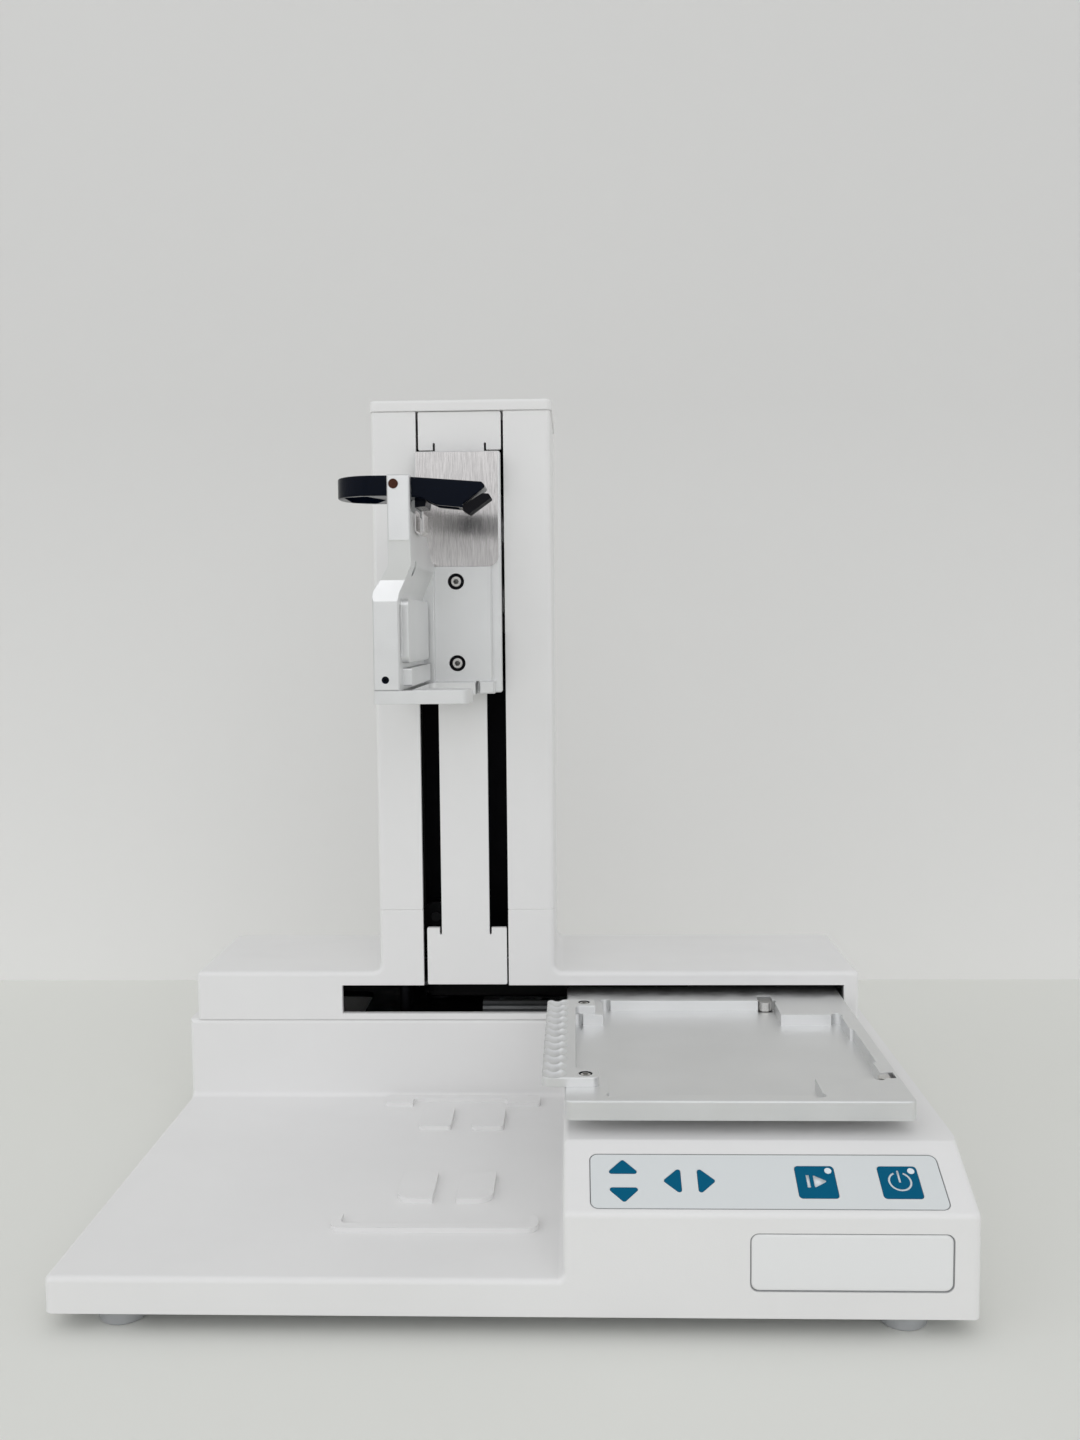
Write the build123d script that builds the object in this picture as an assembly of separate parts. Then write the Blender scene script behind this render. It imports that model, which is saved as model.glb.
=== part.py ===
from build123d import *
import math
import os

# Bench liquid handling robot. Millimetres, +Z up, +X to the operator's right, +Y to the back.
# Origin: on the table, under the middle of the base.

# --- Driving dimensions -------------------------------------------------------------------

WIDTH = 350.0                 # base, side to side
DEPTH = 264.8                 # base, front to back
HEIGHT = 378.5                # table to the top of the tower cap
FOOT_GAP = 8.0                # table to the underside of the base
DECK_Z = 22.2                 # top of the flat deck at the left
CONSOLE_Z = 47.6              # top of the console's front face
PLATFORM_Z = 62.8             # top of the console's platform and of the riser
HOUSING_Z = 87.75             # top of the rear housing
PANEL_RUN = 31.7              # depth of the sloped keypad panel, measured level
RISER_SETBACK = 184.05        # base front to the front of the riser, housing and tower
CONSOLE_X = 21.0              # left wall of the console
WALL = 3.0                    # moulded walls
CORNER_R = 3.0                # upright corners of the base
HOUSING_R = 6.0               # upright rear corners of the housing
INNER_R = 0.5                 # upright corners inside the walls
EDGE_R = 2.4                  # rounded edges of the housing and the tower

TOWER_X = (-74.9, 15.2)       # tower, side to side
STUB_Z = 120.3                # seam between the housing's stub and the tower cover
CAP_Z = 372.95                # seam between the tower cover and its cap
CHANNEL_X = (-52.4, -8.5)     # open channel in the tower's front
STRIP_X = (-42.8, -18.2)      # narrow part of the front strip
SLOT_X = (-95.0, 163.2)       # slot that the tray runs in
SLOT_Z = (66.0, 80.8)

PLATE_L, PLATE_W = 127.76, 85.48   # standard microplate footprint
NEST_CLEAR = 0.4                   # plate to nest wall, all together
TIP_PITCH = 9.0                    # pitch of the pipette tips
TIPS = 12

TRAY_X = (21.45, 160.75)
TRAY_Y = (-96.5, 63.6)
TRAY_Z = (68.8, 76.75)
POCKET_Z = 71.36
NEST_WIDE_AT = (89.4, -27.9)       # centre of the nest with the plate's long side along X
NEST_TALL_AT = (82.2, -26.2)       # centre of the nest with the plate's long side along Y
TONGUE_X = 87.0                    # left side of the tray's rear tongue
TONGUE_Y = 97.5

BELT_R = 6.37                      # pitch radius of a 20 tooth, 2 mm pitch pulley
BELT_T = 1.4
PULLEY_GAP = 0.3                   # belt to pulley
SHAFT_R = 2.5
RUN_CLEAR = 0.04                   # radial clearance of a running fit
PIN_R = 2.0

# --- Dimensions that follow ---------------------------------------------------------------

FRONT = -DEPTH / 2
REAR = DEPTH / 2
SIDE = WIDTH / 2
FACE = FRONT + RISER_SETBACK       # front plane of riser, housing and tower
SLOPE = math.atan2(PLATFORM_Z - CONSOLE_Z, PANEL_RUN)
PANEL = Plane(origin=(0, FRONT, CONSOLE_Z), x_dir=(1, 0, 0),
              z_dir=(0, -math.sin(SLOPE), math.cos(SLOPE)))

HOUSING_SIDE = SIDE - 4.05
CHASSIS_Z = (55.8, 58.8)
PLATE_Z = (FOOT_GAP + 0.2, FOOT_GAP + 1.7)     # sheet steel bottom plate
FEET = [(x, y) for x in (-149.8, 149.8) for y in (-117.5, 117.5)]
POSTS = [(-132.0, 66.0), (-132.0, 121.0), (22.0, 121.0), (22.0, 66.0), (132.0, 66.0), (132.0, 124.0)]
FRAME_POSTS = [(-65.0, 72.0), (-65.0, 122.0), (8.0, 122.0)]
INLET_X, INLET_Z = -120.0, 34.0

STRIP_Y = (FACE + 0.4, FACE + 2.9)
STRIP_TOP = (353.7, 372.7)         # wide head of the front strip
STRIP_HEAD_X = (-51.2, -9.7)
STRIP_FOOT = (81.2, 110.9)         # wide foot of the front strip

RAIL_W, RAIL_H = 9.0, 6.5          # miniature linear guide
BEARING_W, BEARING_L, GUIDE_H = 20.0, 39.9, 10.0
X_RAIL_Y = 80.0
X_BEARING_X = 124.0
X_PULLEY = (-50.0, 108.0)
X_IDLER = (155.0, 108.0)
X_BELT_Z = (61.0, 67.0)
Z_RAIL_X = -30.5
FRAME_Y = (100.0, 104.0)
Z_BEARING_Z = 298.0
Z_PULLEY = (-50.0, 108.0)          # X and Z of the driven pulley
Z_IDLER = (-50.0, 346.0)
Z_BELT_Y = (91.0, 97.0)
MOTOR = 35.0                       # square of a small stepper motor

REAR_LATCH_X, REAR_LATCH_Y = 121.0, NEST_TALL_AT[1] + (PLATE_L + NEST_CLEAR) / 2
SIDE_LATCH_Y, SIDE_LATCH_X = -67.0, NEST_WIDE_AT[0] + (PLATE_L + NEST_CLEAR) / 2
LATCH_W = 6.6
LATCH_RELIEF = 0.4                 # floor under a latch, below the nest's floor
COMB_Z = (TRAY_Z[1], 80.8)
COMB_Y = (-81.5, 27.0)
FIRST_SEAT_Y = 22.5
SEAT_X = 16.8
SEAT_R, SEAT_DEPTH = 5.3, 3.0      # dished seat of one tip, wider than the pitch
COMB_SCREWS = [(30.0, -76.6), (30.0, 22.4)]
TRAY_SCREWS = [(X_BEARING_X + dx, X_RAIL_Y + dy) for dx in (-7.5, 7.5) for dy in (-5.0, 5.0)]

CARRIAGE_X = (-52.2, -9.7)
CARRIAGE_Z = (232.4, 352.0)
CARRIAGE_Y = (43.5, 47.0)
YOKE_Z = (262.0, 332.0)
ARM_FRONT = -51.4
BRACKET_Y = (38.0, 43.5)
BRACKET_SCREWS = [(-31.8, 287.6), (-31.6, 247.3)]
SET_SCREW_X, SET_SCREW_Z, SET_SCREW_R = -53.9, 242.6, 1.6
SHELF_Z = (232.3, 238.4)
SEAT_Z = SHELF_Z[1] - 0.5          # sunk strip of the shelf that the side plate stands in
PIVOT_X, PIVOT_Z = -49.2, 325.3
LEVER_Y = (-45.9, -10.1)
LEVER_SIDE_GAP = 0.5
LOOP_Z = (320.9, 329.5)
LOOP_END_X = -76.4
WING_REAR = -31.0                  # rear side of the wing
PAD_TOP, PAD_FOOT = (-20.5, 316.5), (-20.5, 315.6)     # where the pad is held, in X and Z
STEP_Z, STEP_IN = (276.0, 303.0), 2.6      # where the front column falls back, and how far
SIDE_FACE_X = -47.8                # lower inner face of the side plate
UPPER_FACE_X = -42.3               # upper inner face of the side plate, edge of the shelf's seat

MEMBRANE_X = (31.2, 164.4)
MEMBRANE_S = (2.6, 28.0)           # along the slope, from its front edge
MEMBRANE_T = 0.9
KEY_GAP = 0.15
ARROW_HALF, ARROW_TALL = 6.4, 6.7
KEY_RUN_X, KEY_POWER_X = 116.8, 148.2
KEY_S, KEY_W, KEY_H = 15.1, 14.8, 14.9
LENS_R = 1.35
LENS_AT = (5.2, 5.3)               # light window, from its key's centre

OUT = "parts"


# --- Helpers ------------------------------------------------------------------------------

def span(a, b, c, d, e, f):
    """Block between two corners, given as X, Y and Z pairs."""
    return Pos((a + b) / 2, (c + d) / 2, (e + f) / 2) * Box(b - a, d - c, f - e)


def slab(x, y, z, radius):
    """Plate with rounded upright corners."""
    outline = Pos((x[0] + x[1]) / 2, (y[0] + y[1]) / 2, z[0])
    return extrude(outline * RectangleRounded(x[1] - x[0], y[1] - y[0], radius), z[1] - z[0])


def slab_on_front(x, z, y0, y1, radius):
    """Plate that stands upright facing the front, with rounded corners."""
    outline = Plane.XZ.offset(-y0) * Pos((x[0] + x[1]) / 2, (z[0] + z[1]) / 2) * RectangleRounded(
        x[1] - x[0], z[1] - z[0], radius)
    return extrude(outline, -(y1 - y0))


def slab_x(x, y, z, radius):
    """Plate across X with rounded corners in Y and Z."""
    outline = Plane.YZ.offset(x[0]) * Pos((y[0] + y[1]) / 2, (z[0] + z[1]) / 2) * RectangleRounded(
        y[1] - y[0], z[1] - z[0], radius)
    return extrude(outline, x[1] - x[0])


def rod_x(radius, x, y, z):
    return Pos((x[0] + x[1]) / 2, y, z) * Rot(0, 90, 0) * Cylinder(radius, x[1] - x[0])


def rod_y(radius, x, y, z):
    return Pos(x, (y[0] + y[1]) / 2, z) * Rot(90, 0, 0) * Cylinder(radius, y[1] - y[0])


def rod_z(radius, x, y, z):
    return Pos(x, y, (z[0] + z[1]) / 2) * Cylinder(radius, z[1] - z[0])


def edges_at(shape, axis, value, other=None):
    """Edges that lie in one plane across an axis, and run along another axis if it is given."""
    found = shape.edges().filter_by_position(axis, value - 0.01, value + 0.01)
    return found.filter_by(other) if other else found


def upright_edges(shape):
    return shape.edges().filter_by(Axis.Z)


def front_prism(points, y):
    """Outline in X and Z, carried along Y between two places."""
    face = Plane.XZ.offset(-y[0]) * make_face(Polyline(*points, close=True))
    return extrude(face, -(y[1] - y[0]))


def save(shape, node):
    export_step(shape, f"{OUT}/{node}.step")


# --- Base ---------------------------------------------------------------------------------

def base_form(inset):
    """Deck, console with its sloped panel, and riser, drawn in by a wall's thickness."""
    drop = inset / math.cos(SLOPE)
    tilt = math.tan(SLOPE)
    nose_y = FRONT + inset
    nose_z = CONSOLE_Z + tilt * inset - drop
    brow_z = PLATFORM_Z - inset
    brow_y = FRONT + (brow_z - CONSOLE_Z + drop) / tilt
    side, rear = SIDE - inset, REAR - inset
    reach = [(nose_y, FOOT_GAP), (nose_y, nose_z), (brow_y, brow_z), (rear, brow_z), (rear, FOOT_GAP)]
    left = CONSOLE_X + inset
    profile = Plane.YZ.offset(left) * make_face(Polyline(*reach, close=True))
    console = extrude(profile, side - left)
    deck = span(-side, side, nose_y, rear, FOOT_GAP, DECK_Z - inset)
    riser = span(-side, side, FACE + inset, rear, FOOT_GAP, brow_z)
    tall = slab((-side, side), (nose_y, rear), (FOOT_GAP, PLATFORM_Z), max(CORNER_R - inset, INNER_R))
    return (deck + console + riser) & tall


def locating_ribs():
    """Low raised pads on the deck that a tip rack or a reservoir is set down between."""
    low, top = DECK_Z - 1.0, DECK_Z + 2.2
    front = slab((-74.0, 10.5), (-96.5, -84.0), (low, top), 5.0)
    front -= slab((-70.0, 6.5), (-92.5, -70.0), (low, top + 1), 3.0)
    rear = slab((-71.4, 7.4), (36.9, 47.0), (low, top), 1.5)
    rear -= slab((-57.2, -9.0), (30.0, 43.0), (low, top + 1), 3.0)
    ribs = front + rear
    for x in ((-50.5, -35.0), (-25.0, -9.5)):
        ribs += slab(x, (7.0, 31.5), (low, top), 1.5)
    for x, outer_corner in (((-50.5, -35.0), 0), ((-25.0, -9.5), -1)):
        pad = span(*x, -70.5, -44.0, low, top)
        ribs += fillet(upright_edges(pad).group_by(Axis.Y)[0].sort_by(Axis.X)[outer_corner], 7.0)
    return ribs


def base_shell():
    """White moulded shell: deck, console and riser in one, open below."""
    outer = base_form(0)
    inner_corner = [e for e in outer.edges().filter_by(Axis.Z)
                    if abs(e.center().X - CONSOLE_X) < 0.1 and abs(e.center().Y - FACE) < 0.1]
    outer = fillet(inner_corner, 3.0)
    hollow = [e for e in edges_at(outer, Axis.Z, DECK_Z) if abs(e.center().X) < SIDE - 1
              and e.center().Y > FRONT + 5]
    outer = fillet(hollow, 2.4)
    creases = [e for e in outer.edges().filter_by(Axis.X) if e.center().X > CONSOLE_X
               and e.center().Y < FACE - 1 and e.center().Z > CONSOLE_Z - 1]
    outer = fillet(creases, 2.6)
    # The console's left outline runs on into the rim of the deck, so one fillet rounds both.
    console_left = [e for e in outer.edges() if abs(e.center().X - CONSOLE_X) < 0.1
                    and e.center().Z > DECK_Z + 1 and e.center().Y < FACE - 1]
    outer = fillet(console_left, 2.2)
    shell = outer - base_form(WALL)
    shell -= slab((-140.0, 166.0), (FACE + 7, REAR - 6), (PLATFORM_Z - WALL - 1, PLATFORM_Z + 1), 4.0)
    shell += locating_ribs()
    # Screw bosses over the feet, the rear ones webbed to the side walls.
    for x, y in FEET:
        top = DECK_Z - 1.5 if x < 0 and y < 0 else 34.0
        shell += rod_z(5.0, x, y, (PLATE_Z[1], top))
        wall_x = math.copysign(SIDE - WALL / 2, x)
        shell += span(min(x, wall_x), max(x, wall_x), y - 1.5, y + 1.5, PLATE_Z[1], min(top, 19.0))
        shell -= rod_z(1.55, x, y, (PLATE_Z[1] - 1, 18.4))
    # Seats for the keypad and the front badge.
    seat_x, seat_y = sum(MEMBRANE_X) / 2, sum(MEMBRANE_S) / 2
    seat = PANEL * Pos(seat_x, seat_y, 0) * RectangleRounded(
        MEMBRANE_X[1] - MEMBRANE_X[0] + 0.4, MEMBRANE_S[1] - MEMBRANE_S[0] + 0.4, 3.2)
    shell -= extrude(seat, 1.0, both=True)
    window = PANEL * Pos(seat_x, seat_y, 0) * RectangleRounded(126.0, 21.0, 2.0)
    shell -= extrude(window, 5.0, both=True)
    shell -= slab_on_front((90.0, 165.1), (18.2, 40.6), FRONT - 1, FRONT + 0.8, 3.2)
    # Opening for the power inlet in the back wall.
    shell -= rod_y(5.6, INLET_X, (REAR - WALL - 2, REAR + 2), INLET_Z)
    return shell


def bottom_plate():
    """Sheet steel plate that closes the base, with a row of vent slots under the motors."""
    reach = SIDE - WALL - 0.3
    plate = slab((-reach, reach), (FRONT + WALL + 0.3, REAR - WALL - 0.3), PLATE_Z, INNER_R)
    for x, y in FEET:
        plate -= rod_z(1.8, x, y, (PLATE_Z[0] - 1, PLATE_Z[1] + 1))
    for i in range(7):
        plate -= slab((-80 + 12 * i, -76 + 12 * i), (80, 112), (PLATE_Z[0] - 1, PLATE_Z[1] + 1), 1.9)
    return plate


def feet():
    """Four tapered rubber feet, each with a counterbore for its screw."""
    profile = make_face(Polyline((1.8, 3.4), (4.2, 3.4), (4.2, 0), (8.6, 0), (9.2, 0.6), (10.2, 8.2),
                                 (1.8, 8.2), close=True))
    foot = revolve(Plane.XZ * profile, Axis.Z)
    return Compound([Pos(x, y, 0) * foot for x, y in FEET])


def foot_screws():
    head = Pos(0, 0, 2.1) * Cylinder(3.0, 2.6)
    socket = Pos(0, 0, 0.8) * extrude(RegularPolygon(1.4, 6), 1.4)
    screw = fillet(edges_at(head, Axis.Z, 0.8), 0.5) + rod_z(1.5, 0, 0, (3.4, 18.0)) - socket
    return Compound([Pos(x, y, 0) * screw for x, y in FEET])


def chassis_posts():
    """Hexagonal standoffs that carry the chassis on the bottom plate."""
    post = extrude(RegularPolygon(4.0, 6), CHASSIS_Z[0] - PLATE_Z[1])
    return Compound([Pos(x, y, PLATE_Z[1]) * post for x, y in POSTS])


def chassis_plate():
    """Aluminium plate in the riser that carries the X guide, both pulleys and the tower."""
    plate = slab((-140.0, 167.0), (60.0, 128.0), CHASSIS_Z, 3.0)
    lift = (CHASSIS_Z[0] - 1, CHASSIS_Z[1] + 1)
    plate -= rod_z(SHAFT_R + 1.5, *X_PULLEY, lift)
    plate -= slab((60.0, 84.0), (100.0, 118.0), lift, 4.0)
    plate -= slab((-126.0, -88.0), (72.0, 116.0), lift, 6.0)
    return plate


# --- Rear housing and tower ---------------------------------------------------------------

def rear_housing():
    """White moulded housing over the X drive, with the tray's slot and the tower's stub."""
    body = span(-HOUSING_SIDE, HOUSING_SIDE, FACE, REAR, PLATFORM_Z, HOUSING_Z)
    body += span(*TOWER_X, FACE, REAR, HOUSING_Z - WALL, STUB_Z)
    stub_roots = [e for e in edges_at(body, Axis.Z, HOUSING_Z, Axis.Y) if abs(e.center().X) < HOUSING_SIDE / 2]
    body = fillet(stub_roots, 4.0)
    rear_corners = [e for e in upright_edges(body).group_by(Axis.Y)[-1]
                    if abs(e.center().X) > HOUSING_SIDE / 2]
    body = fillet(rear_corners, HOUSING_R)
    front_corners = [e for e in upright_edges(body).group_by(Axis.Y)[0]
                     if abs(e.center().X) > HOUSING_SIDE / 2]
    # Every edge over the housing, apart from the seams that the roundings at the stub's root left.
    rims = [e for e in body.edges() if HOUSING_Z - 0.1 < e.center().Z < STUB_Z - 0.1
            and (abs(e.center().X) > HOUSING_SIDE / 2 or not FACE + 1 < e.center().Y < REAR - 1)]
    body = fillet(front_corners + rims, EDGE_R)
    inside = HOUSING_SIDE - WALL
    body -= span(-inside, inside, FACE + WALL, REAR - WALL, PLATFORM_Z - 1, HOUSING_Z - WALL)
    body -= span(TOWER_X[0] + WALL, TOWER_X[1] - WALL, FACE + WALL, REAR - WALL,
                 HOUSING_Z - WALL - 1, STUB_Z + 1)
    body -= span(*SLOT_X, FACE - 1, FACE + WALL + 1, *SLOT_Z)
    body -= span(*CHANNEL_X, FACE - 1, FACE + WALL + 1, SLOT_Z[1] - 1, STUB_Z + 1)
    return chamfer(edges_at(body, Axis.Z, STUB_Z), 0.35)


def tower_cover():
    """White moulded cover: back, both sides and two front panels beside the open channel."""
    body = span(*TOWER_X, FACE, REAR, STUB_Z, CAP_Z)
    body = fillet(upright_edges(body), EDGE_R)
    body -= span(TOWER_X[0] + WALL, TOWER_X[1] - WALL, FACE + WALL, REAR - WALL, STUB_Z - 1, CAP_Z + 1)
    body -= span(*CHANNEL_X, FACE - 1, FACE + WALL + 1, STUB_Z - 1, CAP_Z + 1)
    rims = edges_at(body, Axis.Z, STUB_Z) + edges_at(body, Axis.Z, CAP_Z)
    return chamfer(rims, 0.35)


def tower_cap():
    """Lid of the tower, with a skirt that drops inside the cover."""
    over = 0.7
    lid = slab((TOWER_X[0] - over, TOWER_X[1] + over), (FACE - over, REAR), (CAP_Z, HEIGHT), 3.6)
    lid = fillet(edges_at(lid, Axis.Z, HEIGHT), 1.6)
    lid = chamfer(edges_at(lid, Axis.Z, CAP_Z), 0.3)
    gap = WALL + 0.3
    skirt = span(TOWER_X[0] + gap, TOWER_X[1] - gap, FACE + 7, REAR - gap, CAP_Z - 3.5, CAP_Z + 0.5)
    skirt -= span(TOWER_X[0] + gap + 2, TOWER_X[1] - gap - 2, FACE + 9, REAR - gap - 2,
                  CAP_Z - 4.5, CAP_Z)
    return lid + skirt


def front_strip():
    """White strip down the middle of the channel, wide at both ends, with relief slits."""
    plate = slab_on_front(STRIP_X, (STRIP_FOOT[0], STRIP_TOP[1]), *STRIP_Y, 0.6)
    plate += slab_on_front(STRIP_HEAD_X, STRIP_TOP, *STRIP_Y, 0.8)
    plate += slab_on_front((-50.4, -9.4), STRIP_FOOT, *STRIP_Y, 0.8)
    for x in STRIP_X:
        out = math.copysign(0.55, x - sum(STRIP_X) / 2)
        slit = (min(x, x + 2 * out), max(x, x + 2 * out))
        plate -= slab_on_front(slit, (STRIP_TOP[0] - 1, STRIP_TOP[0] + 3.6), STRIP_Y[0] - 1,
                               STRIP_Y[1] + 1, 0.5)
        plate -= slab_on_front(slit, (STRIP_FOOT[1] - 3.6, STRIP_FOOT[1] + 1), STRIP_Y[0] - 1,
                               STRIP_Y[1] + 1, 0.5)
    return plate


def strip_brackets():
    """Two folded brackets that hold the strip off the tower frame, top and bottom."""
    parts = []
    for z in ((357.5, 367.0), (88.0, 98.5)):
        bracket = span(-41.0, -20.0, STRIP_Y[1], FRAME_Y[0], *z)
        bracket -= span(-39.0, -22.0, STRIP_Y[1] + 2, FRAME_Y[0] - 2, z[0] - 1, z[1] + 1)
        parts.append(fillet(upright_edges(bracket).group_by(Axis.Y)[1], 1.5))
    return Compound(parts)


def tower_frame():
    """Black anodised back plate of the tower on a footed flange, with lightening holes."""
    back = slab_on_front((-66.0, 6.0), (84.0, 367.5), *FRAME_Y, 3.0)
    flange = slab((-68.0, 12.0), (66.0, 128.0), (84.0, 88.0), 3.0)
    flange -= slab((-62.0, 6.0), (60.0, 96.0), (83.0, 89.0), 3.0)
    frame = back + flange
    for x, y in FRAME_POSTS:
        frame += rod_z(3.0, x, y, (CHASSIS_Z[1], 85.0))
    frame -= rod_y(SHAFT_R + 1.5, Z_PULLEY[0], (FRAME_Y[0] - 1, FRAME_Y[1] + 1), Z_PULLEY[1])
    for z in (160.0, 215.0, 270.0, 325.0):
        frame -= slab_on_front((-8.0, 2.0), (z - 18, z + 18), FRAME_Y[0] - 1, FRAME_Y[1] + 1, 4.9)
    return frame


def tower_liner():
    """Two black side sheets beside the Z drive, which the windows of the channel show."""
    z = (125.0, 366.0)
    sheet = span(-64.5, 4.5, FACE + WALL + 0.4, FRAME_Y[0], *z)
    sheet -= span(-63.5, 3.5, FACE + WALL - 1, FRAME_Y[0] + 1, z[0] - 1, z[1] + 1)
    return sheet


def slot_liner():
    """Black sheet over and behind the tray's slot."""
    x = (-97.5, 165.5)
    y = (FACE + WALL + 0.4, 98.8)
    z = (73.0, 82.2)
    profile = make_face(Polyline((y[0], z[1]), (y[1], z[1]), (y[1], z[0]), (y[1] - 0.8, z[0]),
                                 (y[1] - 0.8, z[1] - 0.8), (y[0], z[1] - 0.8), close=True))
    sheet = extrude(Plane.YZ.offset(x[0]) * profile, x[1] - x[0])
    return sheet - rod_z(3.4, *FRAME_POSTS[0], (z[0], z[1] + 1))


# --- Drives -------------------------------------------------------------------------------

def guide_profile(height):
    """Guide rail section: waisted sides that the bearing's balls run in."""
    half, waist = RAIL_W / 2, 0.9
    return Polyline((-half, 0), (half, 0), (half, height * 0.35), (half - waist, height * 0.55),
                    (half, height * 0.75), (half, height), (-half, height), (-half, height * 0.75),
                    (-half + waist, height * 0.55), (-half, height * 0.35), close=True)


def x_rail():
    rail = extrude(Plane.YZ.offset(-24.0) * Pos(X_RAIL_Y, CHASSIS_Z[1]) * make_face(
        guide_profile(RAIL_H)), 180.0)
    for i in range(9):
        rail -= rod_z(1.9, -14.0 + 20.0 * i, X_RAIL_Y, (CHASSIS_Z[1] + 2, CHASSIS_Z[1] + RAIL_H + 1))
    return rail


def z_rail():
    section = Plane.XY.offset(112.0) * Pos(Z_RAIL_X, FRAME_Y[0]) * Rot(0, 0, 180) * make_face(
        guide_profile(RAIL_H))
    rail = extrude(section, 240.0)
    for i in range(12):
        rail -= rod_y(1.9, Z_RAIL_X, (FRAME_Y[0] - RAIL_H - 1, FRAME_Y[0] - 2), 122.0 + 20.0 * i)
    return rail


def bearing_block():
    """Guide bearing along local X, standing on local Z, with steel body and end caps."""
    body = span(-BEARING_L / 2, BEARING_L / 2, -BEARING_W / 2, BEARING_W / 2, 2.2, GUIDE_H)
    body = chamfer(edges_at(body, Axis.Z, GUIDE_H, Axis.X), 0.6)
    body -= span(-BEARING_L, BEARING_L, -RAIL_W / 2 - 0.3, RAIL_W / 2 + 0.3, 0, RAIL_H + 0.3)
    for x in (-BEARING_L / 2 + 4, BEARING_L / 2 - 4):
        ring = span(x - 0.25, x + 0.25, -BEARING_W, BEARING_W, 0, GUIDE_H + 1)
        core = span(x - 1, x + 1, -BEARING_W / 2 + 0.4, BEARING_W / 2 - 0.4, 0, GUIDE_H - 0.4)
        body -= ring - core
    return body


def x_bearing():
    return Pos(X_BEARING_X, X_RAIL_Y, CHASSIS_Z[1]) * bearing_block()


def z_bearing():
    turned = Rot(90, 0, 0) * Rot(0, 0, 90) * bearing_block()
    return Pos(Z_RAIL_X, FRAME_Y[0], Z_BEARING_Z) * turned


def stepper(length):
    """Stepper motor below its mounting face at local z = 0, with its shaft and pilot ring."""
    cap = length * 0.22
    body = slab((-MOTOR / 2, MOTOR / 2), (-MOTOR / 2, MOTOR / 2), (-length, 0), 2.0)
    core = slab((-MOTOR / 2 + 0.6, MOTOR / 2 - 0.6), (-MOTOR / 2 + 0.6, MOTOR / 2 - 0.6),
                (-length + cap, -cap), 4.0)
    ends = body - span(-MOTOR, MOTOR, -MOTOR, MOTOR, -length + cap, -cap)
    return ends + core


def x_motor():
    shaft = rod_z(SHAFT_R, 0, 0, (-1.0, X_BELT_Z[1] + 2.5 - CHASSIS_Z[0]))
    return Pos(*X_PULLEY, CHASSIS_Z[0]) * (stepper(34.0) + shaft)


def z_motor():
    shaft = rod_z(SHAFT_R, 0, 0, (-1.0, FRAME_Y[1] - Z_BELT_Y[0] + 2.5))
    return Pos(Z_PULLEY[0], FRAME_Y[1], Z_PULLEY[1]) * Rot(90, 0, 0) * (stepper(24.0) + shaft)


def pulley(low, high, bore):
    """Toothed pulley along local Z with two flanges and a row of belt grooves."""
    drum_r = BELT_R - PULLEY_GAP - BELT_T / 2
    drum = rod_z(drum_r, 0, 0, (low, high))
    groove = Pos(drum_r + 0.25, 0, (low + high) / 2) * Cylinder(0.6, high - low + 1)
    for i in range(20):
        drum -= Rot(0, 0, 18 * i) * groove
    drum += rod_z(BELT_R + 1.8, 0, 0, (low - 1.2, low)) + rod_z(BELT_R + 1.8, 0, 0, (high, high + 1.2))
    return drum - rod_z(bore, 0, 0, (low - 2, high + 2))


def flat_pulley(at):
    return Pos(*at, 0) * pulley(X_BELT_Z[0] - 0.2, X_BELT_Z[1] + 0.2, SHAFT_R + RUN_CLEAR)


def upright_pulley(at):
    return Pos(at[0], 0, at[1]) * Rot(90, 0, 0) * pulley(
        -Z_BELT_Y[1] - 0.2, -Z_BELT_Y[0] + 0.2, SHAFT_R + RUN_CLEAR)


def idler_pins():
    """Two fixed pins that the idlers turn on, each with a collar and a retaining head."""
    x_pin = rod_z(SHAFT_R, *X_IDLER, (CHASSIS_Z[1], X_BELT_Z[1] + 2.6))
    x_pin += rod_z(4.0, *X_IDLER, (X_BELT_Z[1] + 1.6, X_BELT_Z[1] + 2.6))
    z_pin = rod_y(SHAFT_R, Z_IDLER[0], (Z_BELT_Y[0] - 2.6, FRAME_Y[0]), Z_IDLER[1])
    z_pin += rod_y(4.0, Z_IDLER[0], (Z_BELT_Y[0] - 2.6, Z_BELT_Y[0] - 1.6), Z_IDLER[1])
    return Compound([x_pin, z_pin])


def belt_loop(a, b, low, high):
    """Closed belt round two pulleys at a and b in the local XY plane."""
    mid = Pos((a[0] + b[0]) / 2, (a[1] + b[1]) / 2)
    turn = Rot(0, 0, math.degrees(math.atan2(b[1] - a[1], b[0] - a[0])))
    reach = math.dist(a, b)
    outer, inner = BELT_R + BELT_T / 2, BELT_R - BELT_T / 2
    ring = mid * turn * (SlotCenterToCenter(reach, 2 * outer) - SlotCenterToCenter(reach, 2 * inner))
    return Pos(0, 0, low) * extrude(ring, high - low)


def x_belt():
    return belt_loop(X_PULLEY, X_IDLER, *X_BELT_Z)


def z_belt():
    flat = belt_loop((Z_PULLEY[0], Z_PULLEY[1]), (Z_IDLER[0], Z_IDLER[1]), -Z_BELT_Y[1], -Z_BELT_Y[0])
    return Rot(90, 0, 0) * flat


# --- Console ------------------------------------------------------------------------------

def on_panel(shape, x, s, low, high):
    """Sketch carried square to the sloped panel, from one height above it to another."""
    return extrude(PANEL * Pos(x, s, low) * shape, high - low)


def arrow(angle):
    """Rounded triangle with its point up at angle 0."""
    half, tall = ARROW_HALF, ARROW_TALL
    face = make_face(Polyline((-half, -tall / 2), (half, -tall / 2), (0, tall / 2), close=True))
    return Rot(0, 0, angle) * fillet(face.vertices(), 0.9)


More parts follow.
